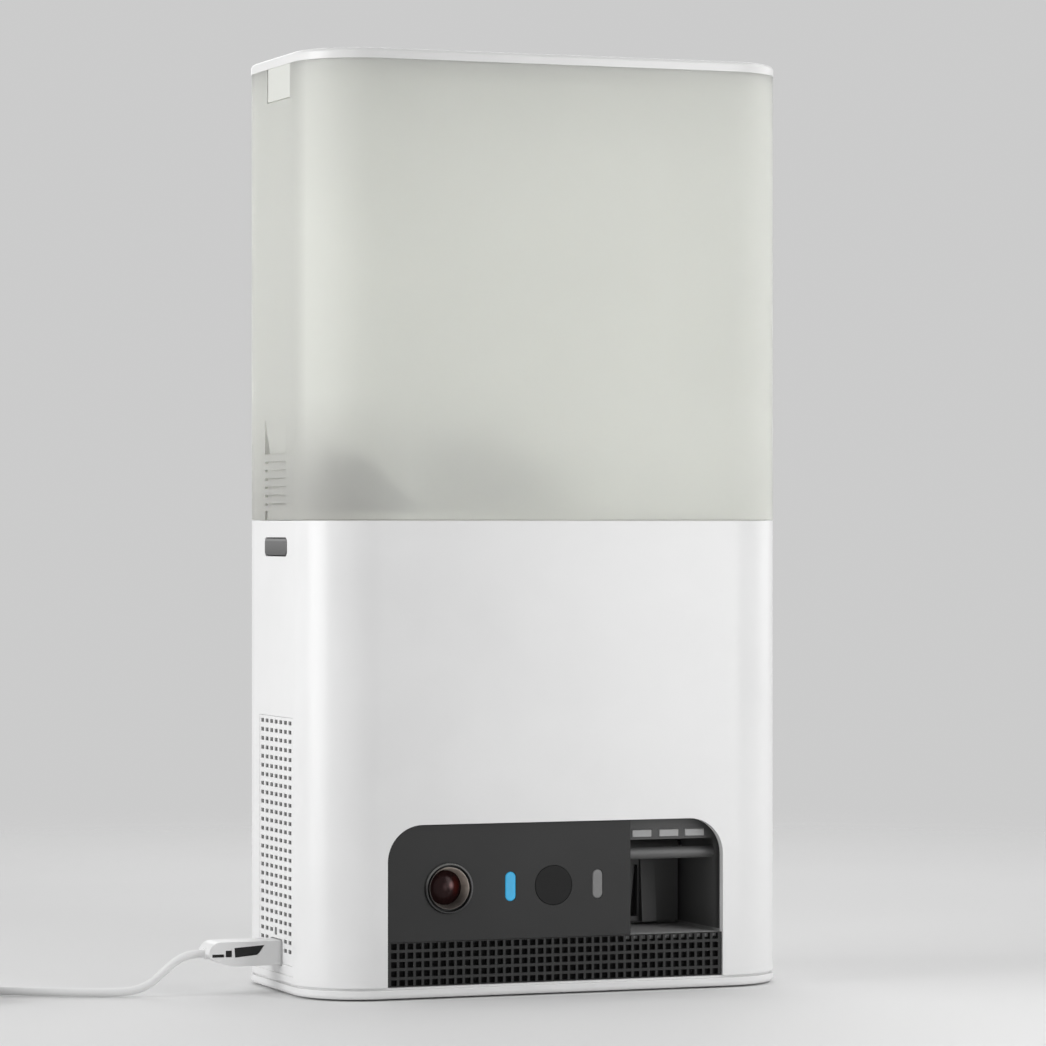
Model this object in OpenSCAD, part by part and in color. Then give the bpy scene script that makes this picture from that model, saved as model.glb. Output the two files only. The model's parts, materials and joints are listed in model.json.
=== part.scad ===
// Treat tossing pet camera: a free-standing housing with a camera window, a lift-off treat hopper,
// a feeder wheel, and a swinging paddle that throws one treat out of the launch opening.
// Millimetres. Origin: centre of the base on the floor. +X to the viewer's right, -Y the front, +Z up.

/* [Body] */
// Width of the housing across the front
body_w = 148; // [146:1:160]
// Depth of the housing from front to back
body_d = 76; // [75:1:84]
// Radius of the upright corners
corner_r = 20; // [17:1:22]
// Height of the whole unit on its feet
total_h = 270; // [250:1:300]
// Height of the seam between housing and hopper
seam_z = 136; // [132:1:145]
// Wall of the housing and of the hopper
wall = 2.4; // [2.2:0.1:2.8]

/* [Base] */
// Height of the rubber feet below the plinth
foot_h = 0.3; // [0.3:0.1:1]
// Diameter of a rubber foot
foot_d = 12; // [8:1:14]
// Height of the plinth
plinth_h = 2.5; // [1.8:0.1:2.6]
// How far the plinth stands out from the housing
plinth_proud = 0.25; // [0.1:0.05:0.5]
// Rounding of the plinth's lower edge
plinth_round = 1.3; // [0.6:0.1:1.4]
// Height of the dark shadow gap over the plinth
shadow_gap = 0.7; // [0.6:0.1:1.2]

/* [Front window] */
// Distance of the window from the housing's left side
win_in_left = 21.7; // [21:0.1:23]
// Distance of the window from the housing's right side
win_in_right = 22.9; // [22.5:0.1:24]
// Height of the window's top edge
win_top = 49.5; // [49:0.1:52]
// Radius of the window's upper corners
win_r = 10.5; // [8:0.5:11]
// How far the dark panel lies behind the housing's face
panel_in = 0.8; // [0.5:0.1:1]
// Width of the launch opening
launch_w = 28.8; // [28:0.1:29.5]
// Height of the launch opening's lower edge
launch_z = 16.2; // [16.2:0.1:17]

/* [Camera and lights] */
// Distance of the lens from the window's left edge
lens_in = 18.7; // [16:0.1:20]
// Height of the lens, the lights and the sensor
eye_z = 31.2; // [29:0.1:33]
// Outer diameter of the lens ring
lens_d = 14.4; // [12:0.1:16]
// Diameter of the lens glass
glass_d = 10; // [8:0.1:10.4]
// Width of a status light
light_w = 3.2; // [2.6:0.1:3.6]
// Height of a status light
light_h = 8.4; // [7:0.1:10]
// Diameter of the dark sensor window
sensor_d = 11.4; // [10:0.1:12]

/* [Grilles] */
// Side of a square hole in the speaker grille
grille_hole = 1.75; // [1.4:0.05:1.9]
// Distance between the holes of the speaker grille
grille_pitch = 2.48; // [2.4:0.01:2.5]
// Rows of holes in the speaker grille
grille_rows = 5; // [4:1:5]
// Width of a slot in the side vent
vent_slot_w = 2.7; // [2:0.1:3]
// Height of a slot in the side vent
vent_slot_h = 1.15; // [0.9:0.05:1.4]
// Rows of slots in the side vent
vent_rows = 26; // [22:1:26]
// Height of the side vent's top edge
vent_top = 79.5; // [79.4:0.1:84]

/* [Hopper and lid] */
// Thickness of the lid's edge
lid_h = 3; // [2.5:0.1:4]
// Overhang of the lid over the hopper
lid_proud = 0.2; // [0:0.05:0.25]
// Width of the lid's side tabs
tab_w = 20.7; // [16:0.1:24]
// Height of the lid's side tabs below the lid
tab_h = 9.6; // [8:0.1:12]
// Length of the thumb grips on the hopper
grip_w = 19.4; // [16:0.1:22]
// Depth of the thumb grips
grip_deep = 1.5; // [1:0.1:1.6]
// Thickness of the hopper's floor
pan_t = 2; // [1.6:0.1:2.5]
// Depth of the rim that drops into the housing
spigot_h = 4.2; // [3.8:0.1:4.6]

/* [Feeder] */
// Place of the feeder wheel's axis, left of the centre
wheel_x = 18; // [16:0.5:20]
// Radius of the feeder wheel
wheel_r = 31; // [30:0.1:31.5]
// Height of the feeder wheel's vanes
vane_h = 13; // [11:0.5:14]
// Number of vanes
vanes = 6; // [5:1:7]
// Radius of the drop hole
drop_r = 9.5; // [9:0.1:10]
// Distance of the drop hole from the wheel's axis
drop_reach = 20.5; // [20.3:0.1:21]
// Bearing of the drop hole, measured from the right towards the front
drop_bearing = 38; // [34:1:42]
// Radius of the feeder's gear motor
feeder_motor_r = 8.4; // [7.5:0.1:8.5]

/* [Kicker] */
// Radius of the kicker's shaft
kick_shaft_r = 1.5; // [1.2:0.1:1.8]
// Height of the kicker's shaft
kick_z = 39; // [38.5:0.1:39.5]
// Distance of the kicker's shaft behind the middle of the launch chamber
kick_back = 12.5; // [12:0.1:13]
// Module of the kicker's gears
gear_m = 0.7; // [0.65:0.01:0.75]
// Teeth of the gear on the kicker's shaft
gear_teeth = 30; // [28:2:32]
// Teeth of the motor's pinion
pinion_teeth = 14; // [14:2:16]
// Width of the kicker's gear
gear_w = 4; // [3:0.1:4.5]

/* [Buttons] */
// Length of a release button
button_w = 20.3; // [16:0.1:22]
// Height of a release button
button_h = 4.9; // [4:0.1:5]
// Distance of the release buttons' centre below the seam
button_drop = 7.6; // [7.4:0.1:8]
// How far a release button stands out of the housing
button_proud = 0.25; // [0.1:0.05:0.25]

/* [Power lead] */
// Diameter of the lead
cord_d = 2.4; // [2.2:0.1:2.6]
// Turns in each of the coil's layers
coil_turns = 4.625; // [3.625:1:4.625]
// Layers of the coil
coil_layers = 4; // [2:2:4]
// Radius of the coil at the middle of its turns
coil_r = 14.4; // [14:0.1:16]
// Height of the lead's plug in the housing
plug_z = 11.6; // [11.3:0.1:11.9]
// Length of the plug's grip
plug_l = 22.6; // [22:0.1:23]

/* [Hidden] */

$fn = 64;
white = [0.93, 0.93, 0.93];
ivory = [0.9, 0.9, 0.88];
frosted = [0.79, 0.79, 0.77, 0.7];
dark = [0.23, 0.23, 0.23];
black = [0.09, 0.09, 0.09];
grey = [0.49, 0.49, 0.49];
pale_grey = [0.62, 0.62, 0.62];
blue = [0.27, 0.7, 0.89];
steel = [0.7, 0.7, 0.72];
copper_brown = [0.42, 0.34, 0.3];
lens_red = [0.2, 0.05, 0.04, 0.8];
board_green = [0.1, 0.3, 0.18];
tongue_black = [0.12, 0.12, 0.12];

// Gaps: between neighbours that slide, and between neighbours that are glued or snapped together
slide_gap = 0.3;
seat_gap = 0.1;
// Depth that cuts run past the faces they break
over = 1;

// Faces of the housing and edges of its window
half_w = body_w / 2;
half_d = body_d / 2;
win_left = half_w - win_in_left;
win_right = half_w - win_in_right;
launch_x = win_right - launch_w;
lens_x = win_left - lens_in;
front_y = -half_d;
inner_x = half_w - wall;
inner_front = front_y + wall;

// Heights of the base
plinth_z = foot_h + plinth_h;
shell_z = plinth_z + shadow_gap;
shadow_in = 1;
rim_t = 1.6;
rim_h = 3.2;

// Front panel
panel_front = front_y + panel_in;
flange_t = 1.4;
flange_over = 1.3;
lens_back = inner_front + flange_t;
grille_foot = shell_z + seat_gap;

// Launch chamber
chute_t = 1.5;
leg_in = 1.5;
leg_t = 2.5;
chute_front = inner_front + seat_gap;
chute_mid = launch_x / 2 + win_right / 2;
drop_in = 20;
chute_mid_y = front_y + drop_in;
kick_y = chute_mid_y + kick_back;
kick_room = 5;
chute_back = kick_y + kick_room;
tube_in = [24.5, 20];
header_in = 5;
header_y = front_y + header_in;
header_t = 3.5;
header_h = 6.2;
header_z = win_top - header_h;
guard_r = 1.7;
guard_in = 8;
guard_y = front_y + guard_in;
guard_drop = 4.2;
guard_z = header_z - guard_drop;
insert_up = 1.8;
insert_z = header_z + insert_up;
insert_size = [6.2, 2, 2.2];
insert_proud = 0.3;
insert_gap = 0.05;
insert_in = [5.2, 13.7, 21.8];
insert_x = [for (place = insert_in) launch_x + place];

// Chassis
deck_t = 2.4;
deck_drop = 15;
deck_z = seam_z - deck_drop;
deck_top = deck_z + deck_t;
post_r = 3.4;
post_in = [14, 12];
post_x = half_w - post_in.x;
post_y = half_d - post_in.y;
screw_r = 1.4;
screw_head_r = 2.6;
screw_head_h = 1.4;

// Drop path
drop_x = -wheel_x + drop_reach * cos(drop_bearing);
drop_y = -drop_reach * sin(drop_bearing);
pan_up = 0.4;
pan_z = seam_z + pan_up;
pan_top = pan_z + pan_t;
collar_t = 1.4;
tube_t = 1.2;
tube_lip = 1;
tube_flange = 3;
tube_flange_t = 1.4;
tube_foot = win_top + chute_t + seat_gap;

// Feeder wheel
wheel_z = pan_top + slide_gap;
vane_t = 2;
hub_r = 11;
dome_r = 16;
dome_h = 28;
dog_af = 6.4;
dog_gap = 0.15;
dog_in = 5;
dog_z = deck_top + dog_in;
dog_top = wheel_z + dog_in;
dog_stem_r = 2;
wheel_boss_r = 6;
wheel_boss_gap = 0.05;
hood_gap = 1;
hood_z = wheel_z + vane_h + hood_gap;
hood_t = 1.5;
hood_angle = 60;
feeder_motor_h = 36;

// Kicker
run_gap = 0.05;
kick_bore = kick_shaft_r + run_gap;
paddle_side = 1.6;
paddle_t = 2;
paddle_foot = launch_z + 1.1;
gear_side = 1.6;
gear_x = launch_x - chute_t - gear_side - gear_w;
gear_gap = 0.1;
shaft_end = 0.8;
shaft_press = 0.02;
mesh_y = gear_m * (gear_teeth + pinion_teeth) / 2 + gear_gap;
motor_y = kick_y + mesh_y;
motor_r = 9.6;
motor_l = 24;
motor_face = gear_x - gear_side;
pinion_shaft_r = 1;
pinion_shaft_in = 5;
motor_nose_r = 3;
motor_nose = 0.8;
cradle_l = 14;
cradle_in = 6;
cradle_lip = 1;
cradle_drop = 4;

// Release buttons
button_z = seam_z - button_drop;
button_y = -1.9;
latch_w = 12;
spigot_gap = 0.25;
spigot_t = 1.8;
spigot_z = pan_z - spigot_h;
flange_reach = 1.4;
button_edge = 0.6;
button_flange_t = 1.1;
latch_t = 1.6;
latch_x = -inner_x + spigot_gap + spigot_t + slide_gap;
hook_reach = 1.3;
hook_t = 2;
hook_drop = 3;
channel_w = 6;
channel_gap = 0.5;

// Hopper and lid
lid_z = total_h - lid_h;
seam_gap = 0.2;
hopper_z = seam_z + seam_gap;
tab_y = -4.5;
grip_y = -1.5;
grip_h = 29.5;
grip_flat = 19.2;
grip_top = seam_z + grip_h;
grip_step = seam_z + grip_flat;
grip_ribs = 7;
grip_pitch = 2.42;
grip_groove = 0.7;
grip_groove_deep = 0.8;
grip_notch = [0.7, 7, 2.6];
lid_round = 1.2;
tab_in = 0.15;
tab_gap = 0.2;
skirt_h = 6;
skirt_t = 1.6;
seal_h = 2;

// Side vent and port
vent_y = -2.05;
vent_w = 31;
vent_up = 4.9;
vent_foot = shell_z + vent_up;
vent_pitch_y = 4.3;
vent_cols = 7;
vent_pitch_z = 2.62;
plug_y = -2.4;
port_hole = [11.4, 7.6];
port_hole_r = 1;
reset_y = -1.7;
reset_z = 17.4;
reset_size = [1.8, 2];
port_board_in = 4.8;
port_board_x = -half_w + port_board_in;
port_board_t = 1.6;
groove_up = 1.9;
groove_z = shell_z + groove_up;

// Power lead. The route's points are chosen by hand: out of the plug, down to the floor, along it.
lead_z = cord_d / 2 + 0.05;
plug_in = 0.8;
plug_end = -half_w - plug_l + plug_in;
plug_w = 10;
plug_h = 7;
plug_side_r = 3.5;
plug_sweep_r = 12;
plug_sweep = sqrt(pow(plug_sweep_r, 2) - pow(plug_sweep_r - plug_h / 2, 2));
plug_relief_l = 3;
plug_relief_t = 0.4;
plug_core_in = 0.3;
plug_core_gap = 0.05;
plug_tip = [6.8, 1.9];
plug_tip_l = 3.4;
cord_route = [
    [-95.8, -2.4, 11.6], [-98.2, -2.4, 11.6], [-100.6, -2.4, 11.25], [-103, -2.4, 10.35],
    [-105.3, -2.4, 8.9], [-107.5, -2.4, 7.1], [-109.7, -2.35, 5.2], [-112, -2.15, 3.5],
    [-114.6, -1.75, 2.25], [-117.8, -1.1, 1.5], [-121.5, -0.1, 1.25], [-126, 1.4, 1.25],
    [-131, 3.55, 1.25], [-136, 6.2, 1.25], [-141, 9.3, 1.25], [-146, 12.7, 1.25],
    [-151, 16.3, 1.25], [-156, 20, 1.25], [-161, 23.6, 1.25], [-166, 27, 1.25],
    [-170.5, 29.6, 1.25], [-175, 31.2, 1.25], [-177.5, 31.5, 1.25], [-180, 31.5, 1.25]
];
tail_route = [
    [-184.8, 31.5, 9.95], [-188, 31.5, 9.9], [-193, 31.1, 9.7], [-198, 29.9, 9.2],
    [-202.6, 27.6, 8.4], [-206.6, 24.3, 7.4], [-209.8, 20.2, 6.4], [-212, 15.6, 5.4],
    [-213.3, 10.6, 4.6], [-213.9, 6, 4.1], [-214, 3, 4], [-214, 0.5, 4]
];
cord_sides = 8;

// Grilles
grille_side = 1;
grille_edge = 0.225;
grille_w = win_left + win_right - 2 * seat_gap;
grille_h = launch_z - seat_gap - grille_foot;
grille_cols = floor((grille_w - grille_hole - 2 * grille_side) / grille_pitch) + 1;
grille_row_pitch = (grille_h - grille_hole - 2 * grille_edge) / (grille_rows - 1);
vent_web = 0.6;
vent_edge = 1.6;

// Port board, with the switch behind the reset pin
port_board_size = [28, 22];
port_shell_in = 1;
port_shell = [8, 3.2];
port_shell_t = 0.4;
port_shell_r = 0.6;
port_x = -half_w + port_shell_in;
reset_in = 0.5;
reset_travel = 0.5;
reset_switch = [2.2, 4, 4];

// Small parts
foot_seat = 0.6;
foot_in = [29, 14];
screw_grip = 8;
button_round = 1.6;
groove_deep = 0.4;
groove_h = 0.5;
vent_frame_t = 1;
vent_frame_over = 0.4;
vent_frame_in = 1.1;
collar_step = 0.35;
cloth_t = 0.3;
hub_thick = 3;
paddle_front = 2.4;
strip_x = chute_mid + 0.4;
strip_w = 4.6;
strip_seat = 0.5;
strip_foot = 2.4;
strip_top = 0.6;
slot_in = [3, 0.8, 0.5, 1.6];
slot_foot = 1.5;
slot_drop = 5;
pressure = 25;
backlash = 1.5;
skirt_in = 0.9;
dome_foot = hood_z + hood_t + hood_gap;
dome_base = dome_foot - wheel_z + 2;
seal_gap = 0.15;
seal_up = 1.5;
motor_cap_h = 4;
motor_cap_in = 3;
dog_stem_in = 7;
dog_stem_room = 1;

// Camera, lights and speaker
// The blue light, the sensor and the grey light, as shares of the way from the lens to the opening
eye_places = [0.336, 0.572, 0.816];
eye_x = [for (share = eye_places) share * (lens_x + launch_x) - lens_x];
blue_x = eye_x[0];
sensor_x = eye_x[1];
grey_x = eye_x[2];
lens_ring_t = 0.5;
lens_edge = 0.2;
lens_step = 0.7;
lens_seat = panel_front + lens_step;
lens_front = panel_front - lens_step;
trim_in = 1;
trim_r = lens_d / 2 - trim_in;
trim_drop = 0.5;
trim_edge = 0.4;
glass_bulge = 1.7;
glass_rim = 0.2;
glass_gap = 0.1;
glass_rise = glass_bulge - glass_rim;
glass_ball = (pow(glass_d / 2, 2) + pow(glass_rise, 2)) / (2 * glass_rise);
barrel_l = 12;
light_proud = 0.05;
small_board_t = 1.4;
camera_board_side = 16;
led_board_h = 22;
led_board_over = 5.5;
speaker_x = -18;
speaker_y = inner_front + 0.5;
speaker_w = 40;
speaker_h = 12;
speaker_d = 8;
speaker_round = 2;
speaker_edge = 1.5;
cone_gap = 0.1;
cone_in = 1;
cone_t = 0.8;
magnet_in = [3, 6];

// Main board: its chips are [x, z, width, height, thickness]
board_x = 20 - inner_x;
board_z = shell_z + 10;
board_t = 1.6;
clip_grip = 3;
board_y = half_d - wall - spigot_gap - rim_t - seat_gap - clip_grip - board_t;
board_size = [60, 84];
clip_w = 6;
clip_h = 15;
clip_places = [8, 34];
board_chips = [
    [10, 48, 14, 14, 1.4], [32, 52, 18, 22, 2.6], [12, 20, 10, 8, 1.6], [24, 18, 8, 12, 5],
    [20, 4, 6, 6, 6], [8, 72, 6, 10, 3]
];

// The coil starts where the route ends, and winds in, out, in and out again
coil_gap = 0.5;
coil_pitch = cord_d + coil_gap;
coil_out = coil_r + coil_pitch * coil_turns / 2;
coil_in = coil_r - coil_pitch * coil_turns / 2;
coil_start = cord_route[len(cord_route) - 1];
coil_x = coil_start.x - cord_d;
coil_y = coil_start.y - coil_out;
coil_all = coil_layers * coil_turns + (coil_layers - 1) / 2;
coil_rings = 24;
coil_sides = 6;

// Plug at the far end
a_grip = [16, 24, 8];
a_grip_r = 3;
a_grip_edge = 2;
a_shell = [12, 12, 4.5];
a_shell_t = 0.4;
a_shell_r = 0.5;
a_shell_hole = 2.2;
a_shell_hole_x = 3;
a_tongue = [10.8, 11.2, 1.7];
a_end = tail_route[len(tail_route) - 1];

// ---- Shared shapes ----

// Rectangle with round corners
module round_rect(w, d, r) {
    square([w - 2 * r, d], center = true);
    square([w, d - 2 * r], center = true);
    for (sx = [-1, 1], sy = [-1, 1]) {
        translate([sx * (w / 2 - r), sy * (d / 2 - r)]) circle(r);
    }
}

// Upright slot with round ends
module pill(w, h) {
    square([w, h - w], center = true);
    for (s = [-1, 1]) {
        translate([0, s * (h - w) / 2]) circle(w / 2);
    }
}

// Plan of the housing, drawn in by the given amount
module plan(inset) {
    round_rect(body_w - 2 * inset, body_d - 2 * inset, corner_r - inset);
}

// Wall that follows the plan
module plan_ring(inset, t, h) {
    linear_extrude(h) difference() {
        plan(inset);
        plan(inset + t);
    }
}

// Waste outside a rounded edge
module edge_waste(e) {
    difference() {
        square(e + over);
        circle(e);
    }
}

// Section through the rim of a slab, from its corner's centre outwards
module rim_section(r, h, top_e, foot_e) {
    difference() {
        square([r, h]);
        if (top_e > 0) {
            translate([r - top_e, h - top_e]) edge_waste(top_e);
        }
        if (foot_e > 0) {
            translate([r - foot_e, foot_e]) mirror([0, 1]) edge_waste(foot_e);
        }
    }
}

// Slab with round corners whose upper and lower edges are rounded too
module soft_block(w, d, r, h, top_e, foot_e) {
    translate([r - w / 2, r - d / 2, 0]) cube([w - 2 * r, d - 2 * r, h]);
    for (side = [0 : 3]) {
        a = (side % 2 == 0 ? w : d) / 2 - r;
        b = (side % 2 == 0 ? d : w) / 2 - r;
        rotate([0, 0, 90 * side]) {
            translate([a, 0, 0]) rotate([90, 0, 0]) linear_extrude(2 * b, center = true)
                rim_section(r, h, top_e, foot_e);
            translate([a, b, 0]) rotate_extrude(angle = 90) rim_section(r, h, top_e, foot_e);
        }
    }
}

// A drawing of the front, X across and Z up, as a slab from y to y + t
module upright(y, t) {
    translate([0, y + t, 0]) rotate([90, 0, 0]) linear_extrude(t) children();
}

// A drawing of the side, Y across and Z up, as a slab from x to x + t
module sideways(x, t) {
    translate([x, 0, 0]) rotate([90, 0, 90]) linear_extrude(t) children();
}

// A round bar along X from x0 to x1
module bar_x(x0, x1, y, z, r) {
    translate([x0, y, z]) rotate([0, 90, 0]) cylinder(r = r, h = x1 - x0);
}

function box_points(x, y, w, h) = [[x, y], [x + w, y], [x + w, y + h], [x, y + h]];

// Sheet from a corner, with a square hole of the given size round each centre
module hole_sheet(corner, size, centres, hole) {
    points = concat(
        box_points(corner.x, corner.y, size.x, size.y),
        [for (c = centres) each box_points(c.x - hole.x / 2, c.y - hole.y / 2, hole.x, hole.y)]
    );
    polygon(points, [for (i = [0 : len(centres)]) [for (k = [0 : 3]) 4 * i + k]]);
}

// Outline of the front window, open at the foot
module window_plan(inset) {
    x0 = -win_left + inset;
    x1 = win_right - inset;
    top = win_top - inset;
    r = win_r - inset;
    translate([x0, 0]) square([x1 - x0, top - r]);
    translate([x0 + r, 0]) square([x1 - x0 - 2 * r, top]);
    for (x = [x0 + r, x1 - r]) {
        translate([x, top - r]) circle(r);
    }
}

// Part of the window left of the launch opening
module left_of(x) {
    translate([-half_w, launch_z]) square([half_w + x, win_top]);
}

module at_posts() {
    for (sx = [-1, 1], sy = [-1, 1]) {
        translate([sx * post_x, sy * post_y, 0]) children();
    }
}

module screw(shank) {
    cylinder(r = screw_head_r - seat_gap, h = screw_head_h);
    translate([0, 0, screw_head_h]) cylinder(r = screw_r - seat_gap / 2, h = shank);
}

// ---- Base ----

module base_plate() color(white) difference() {
    union() {
        translate([0, 0, foot_h]) soft_block(
            body_w + 2 * plinth_proud, body_d + 2 * plinth_proud, corner_r + plinth_proud,
            plinth_h, 0, plinth_round
        );
        translate([0, 0, plinth_z]) linear_extrude(shadow_gap) plan(shadow_in);
        translate([0, 0, shell_z]) difference() {
            plan_ring(wall + spigot_gap, rim_t, rim_h);
            translate([corner_r - half_w, front_y, -over])
                cube([body_w - 2 * corner_r, half_d, rim_h + 2 * over]);
        }
    }
    at_feet() cylinder(r = foot_d / 2 + seat_gap / 2, h = foot_h + foot_seat);
    at_posts() {
        cylinder(r = screw_head_r, h = foot_h + screw_head_h + seat_gap);
        cylinder(r = screw_r, h = shell_z + over);
    }
}

module at_feet() {
    for (sx = [-1, 1], sy = [-1, 1]) {
        translate([sx * (half_w - foot_in.x), sy * (half_d - foot_in.y), 0]) children();
    }
}

module rubber_feet() color(grey) at_feet() cylinder(r = foot_d / 2, h = foot_h + foot_seat);

module base_screws() color(steel) at_posts()
    translate([0, 0, foot_h + seat_gap]) screw(screw_grip);

module chassis_posts() color(ivory) at_posts() translate([0, 0, shell_z]) difference() {
    cylinder(r = post_r, h = deck_z - shell_z);
    translate([0, 0, -over]) cylinder(r = screw_r, h = screw_grip + over);
    translate([0, 0, deck_z - shell_z - screw_grip]) cylinder(r = screw_r, h = screw_grip + over);
}

// ---- Housing ----

module body_shell() color(white) difference() {
    translate([0, 0, shell_z]) plan_ring(0, wall, seam_z - shell_z);
    upright(front_y - over, wall + 2 * over) window_plan(0);
    sideways(-half_w - over, wall + 2 * over) {
        vent_outline(0);
        port_outline();
    }
    for (s = [0, 1]) {
        mirror([s, 0, 0]) sideways(-half_w - over, wall + 2 * over) translate([button_y, button_z])
            round_rect(button_w + 2 * slide_gap, button_h + 2 * slide_gap, button_round);
    }
    translate([-half_w - over, vent_y - vent_w / 2, groove_z]) cube([over + groove_deep, vent_w + 5, groove_h]);
}

module vent_outline(inset) {
    translate([vent_y - vent_w / 2 + inset, vent_foot + inset])
        square([vent_w - 2 * inset, vent_top - vent_foot - 2 * inset]);
}

module port_outline() {
    translate([plug_y, plug_z]) round_rect(port_hole.x, port_hole.y, port_hole_r);
}

module reset_outline(grow) {
    translate([reset_y, reset_z])
        square([reset_size.x + 2 * grow, reset_size.y + 2 * grow], center = true);
}

// Slots of the side vent, without those that the port and the reset pin take
vent_slots = [
    for (row = [0 : vent_rows - 1], col = [0 : vent_cols - 1])
        let (
            y = vent_y + (col - (vent_cols - 1) / 2) * vent_pitch_y,
            z = vent_top - vent_edge - row * vent_pitch_z,
            by_port = abs(y - plug_y) < (port_hole.x + vent_slot_w) / 2 + vent_web
                && z < plug_z + (port_hole.y + vent_slot_h) / 2 + vent_web,
            by_reset = abs(y - reset_y) < (vent_slot_w + reset_size.x) / 2 + vent_web
                && abs(z - reset_z) < (vent_slot_h + reset_size.y) / 2 + vent_web,
            too_low = z < vent_foot + vent_slot_h / 2 + vent_web
        )
        if (!by_port && !by_reset && !too_low) [y, z]
];

module side_vent_grille() color(white) difference() {
    union() {
        sideways(seat_gap / 2 - half_w, wall - seat_gap / 2) hole_sheet(
            [vent_y - vent_w / 2 + seat_gap, vent_foot + seat_gap],
            [vent_w - 2 * seat_gap, vent_top - vent_foot - 2 * seat_gap],
            vent_slots, [vent_slot_w, vent_slot_h]
        );
        sideways(-inner_x, vent_frame_t) difference() {
            vent_outline(-vent_frame_over);
            vent_outline(seat_gap);
        }
        sideways(-inner_x, vent_frame_t) difference() {
            vent_outline(seat_gap);
            vent_outline(vent_frame_in);
        }
    }
    sideways(-half_w - over, wall + vent_frame_t + 2 * over) {
        port_outline();
        reset_outline(seat_gap);
    }
}

module top_deck() color(ivory) difference() {
    union() {
        translate([0, 0, deck_z]) linear_extrude(deck_t) plan(wall + slide_gap);
        translate([drop_x, drop_y, deck_top])
            cylinder(r = drop_r + collar_step + collar_t, h = pan_z - slide_gap - deck_top);
    }
    translate([drop_x, drop_y, deck_z - over]) cylinder(r = drop_r + collar_step, h = pan_z - deck_z + over);
    translate([-wheel_x, 0, deck_z - over]) cylinder(r = 2 * dog_stem_r, h = deck_t + 2 * over);
    at_posts() translate([0, 0, deck_z - over]) cylinder(r = screw_r, h = deck_t + 2 * over);
}

module deck_screws() color(steel) at_posts() translate([0, 0, deck_top + screw_head_h])
    mirror([0, 0, 1]) screw(deck_t + screw_grip - over);

// ---- Front ----

module front_panel() color(dark) difference() {
    union() {
        upright(panel_front, inner_front - panel_front) intersection() {
            window_plan(seat_gap);
            left_of(launch_x);
        }
        upright(inner_front, flange_t) intersection() {
            window_plan(-flange_over);
            left_of(launch_x - chute_t - seat_gap);
        }
    }
    upright(front_y, wall + flange_t + over) {
        translate([-lens_x, eye_z]) circle(lens_d / 2 + seat_gap / 2);
        translate([sensor_x, eye_z]) circle(sensor_d / 2 + seat_gap / 2);
        for (x = [blue_x, grey_x]) {
            translate([x, eye_z]) pill(light_w + seat_gap, light_h + seat_gap);
        }
    }
}

grille_centres = [
    for (row = [0 : grille_rows - 1], col = [0 : grille_cols - 1]) [
        (win_right - win_left) / 2 + (col - (grille_cols - 1) / 2) * grille_pitch,
        grille_foot + grille_h / 2 + (row - (grille_rows - 1) / 2) * grille_row_pitch
    ]
];

module speaker_grille() color(dark) upright(panel_front, inner_front - panel_front) hole_sheet(
    [-win_left + seat_gap, grille_foot], [grille_w, grille_h], grille_centres,
    [grille_hole, grille_hole]
);

module grille_cloth() color(black) upright(inner_front, cloth_t) {
    translate([-win_left + over, shell_z])
        square([win_left + launch_x - chute_t - 2 * over, launch_z - shell_z - seat_gap]);
    translate([0, shell_z]) square([win_right - over, launch_z - chute_t - shell_z - seat_gap]);
}

module at_lens(y) {
    translate([-lens_x, y, eye_z]) rotate([90, 0, 0]) children();
}

module lens_ring() color(black) at_lens(lens_back) rotate_extrude() difference() {
    translate([lens_d / 2 - lens_ring_t, 0]) square([lens_ring_t, lens_back - lens_front]);
    translate([lens_d / 2 - lens_edge, lens_back - lens_front - lens_edge]) edge_waste(lens_edge);
}

module lens_trim() color(copper_brown) at_lens(lens_seat) rotate_extrude() polygon([
    [glass_d / 2 + glass_gap, 0], [trim_r, 0], [trim_r, lens_seat - lens_front - trim_drop],
    [trim_r - trim_edge, lens_seat - lens_front - trim_drop / 2], [glass_d / 2 + glass_gap, trim_drop]
]);

module lens_dome() color(lens_red) at_lens(lens_seat) intersection() {
    cylinder(r = glass_d / 2, h = glass_ball);
    translate([0, 0, glass_bulge - glass_ball]) sphere(glass_ball);
}

module lens_barrel() color(black) at_lens(lens_seat + barrel_l)
    cylinder(r = lens_d / 2 - lens_ring_t - seat_gap / 2, h = barrel_l);

module camera_board() color(board_green)
    upright(lens_seat + barrel_l, small_board_t) translate([-lens_x, eye_z])
        square(camera_board_side, center = true);

module status_light(x, h) {
    upright(panel_front - light_proud, lens_back - panel_front + light_proud) translate([x, eye_z])
        pill(light_w, h);
}

module status_light_blue() color(blue) status_light(blue_x, light_h);

module status_light_grey() color(grey) status_light(grey_x, light_h);

module sensor_window() color(black)
    upright(panel_front - light_proud, lens_back - panel_front + light_proud)
        translate([sensor_x, eye_z]) circle(sensor_d / 2);

module led_board() color(board_green) upright(lens_back, small_board_t)
    translate([blue_x - led_board_over, eye_z - led_board_h / 2])
        square([grey_x - blue_x + 2 * led_board_over, led_board_h]);

// ---- Speaker ----

module at_speaker(y, t) {
    upright(y, t) translate([speaker_x, shell_z + speaker_h / 2]) children();
}

module speaker_frame() color(black) difference() {
    at_speaker(speaker_y, speaker_d) round_rect(speaker_w, speaker_h, speaker_round);
    at_speaker(speaker_y - over, speaker_d - speaker_edge + over)
        rotate(90) pill(speaker_h - 2 * speaker_edge, speaker_w - 2 * speaker_edge);
}

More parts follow.
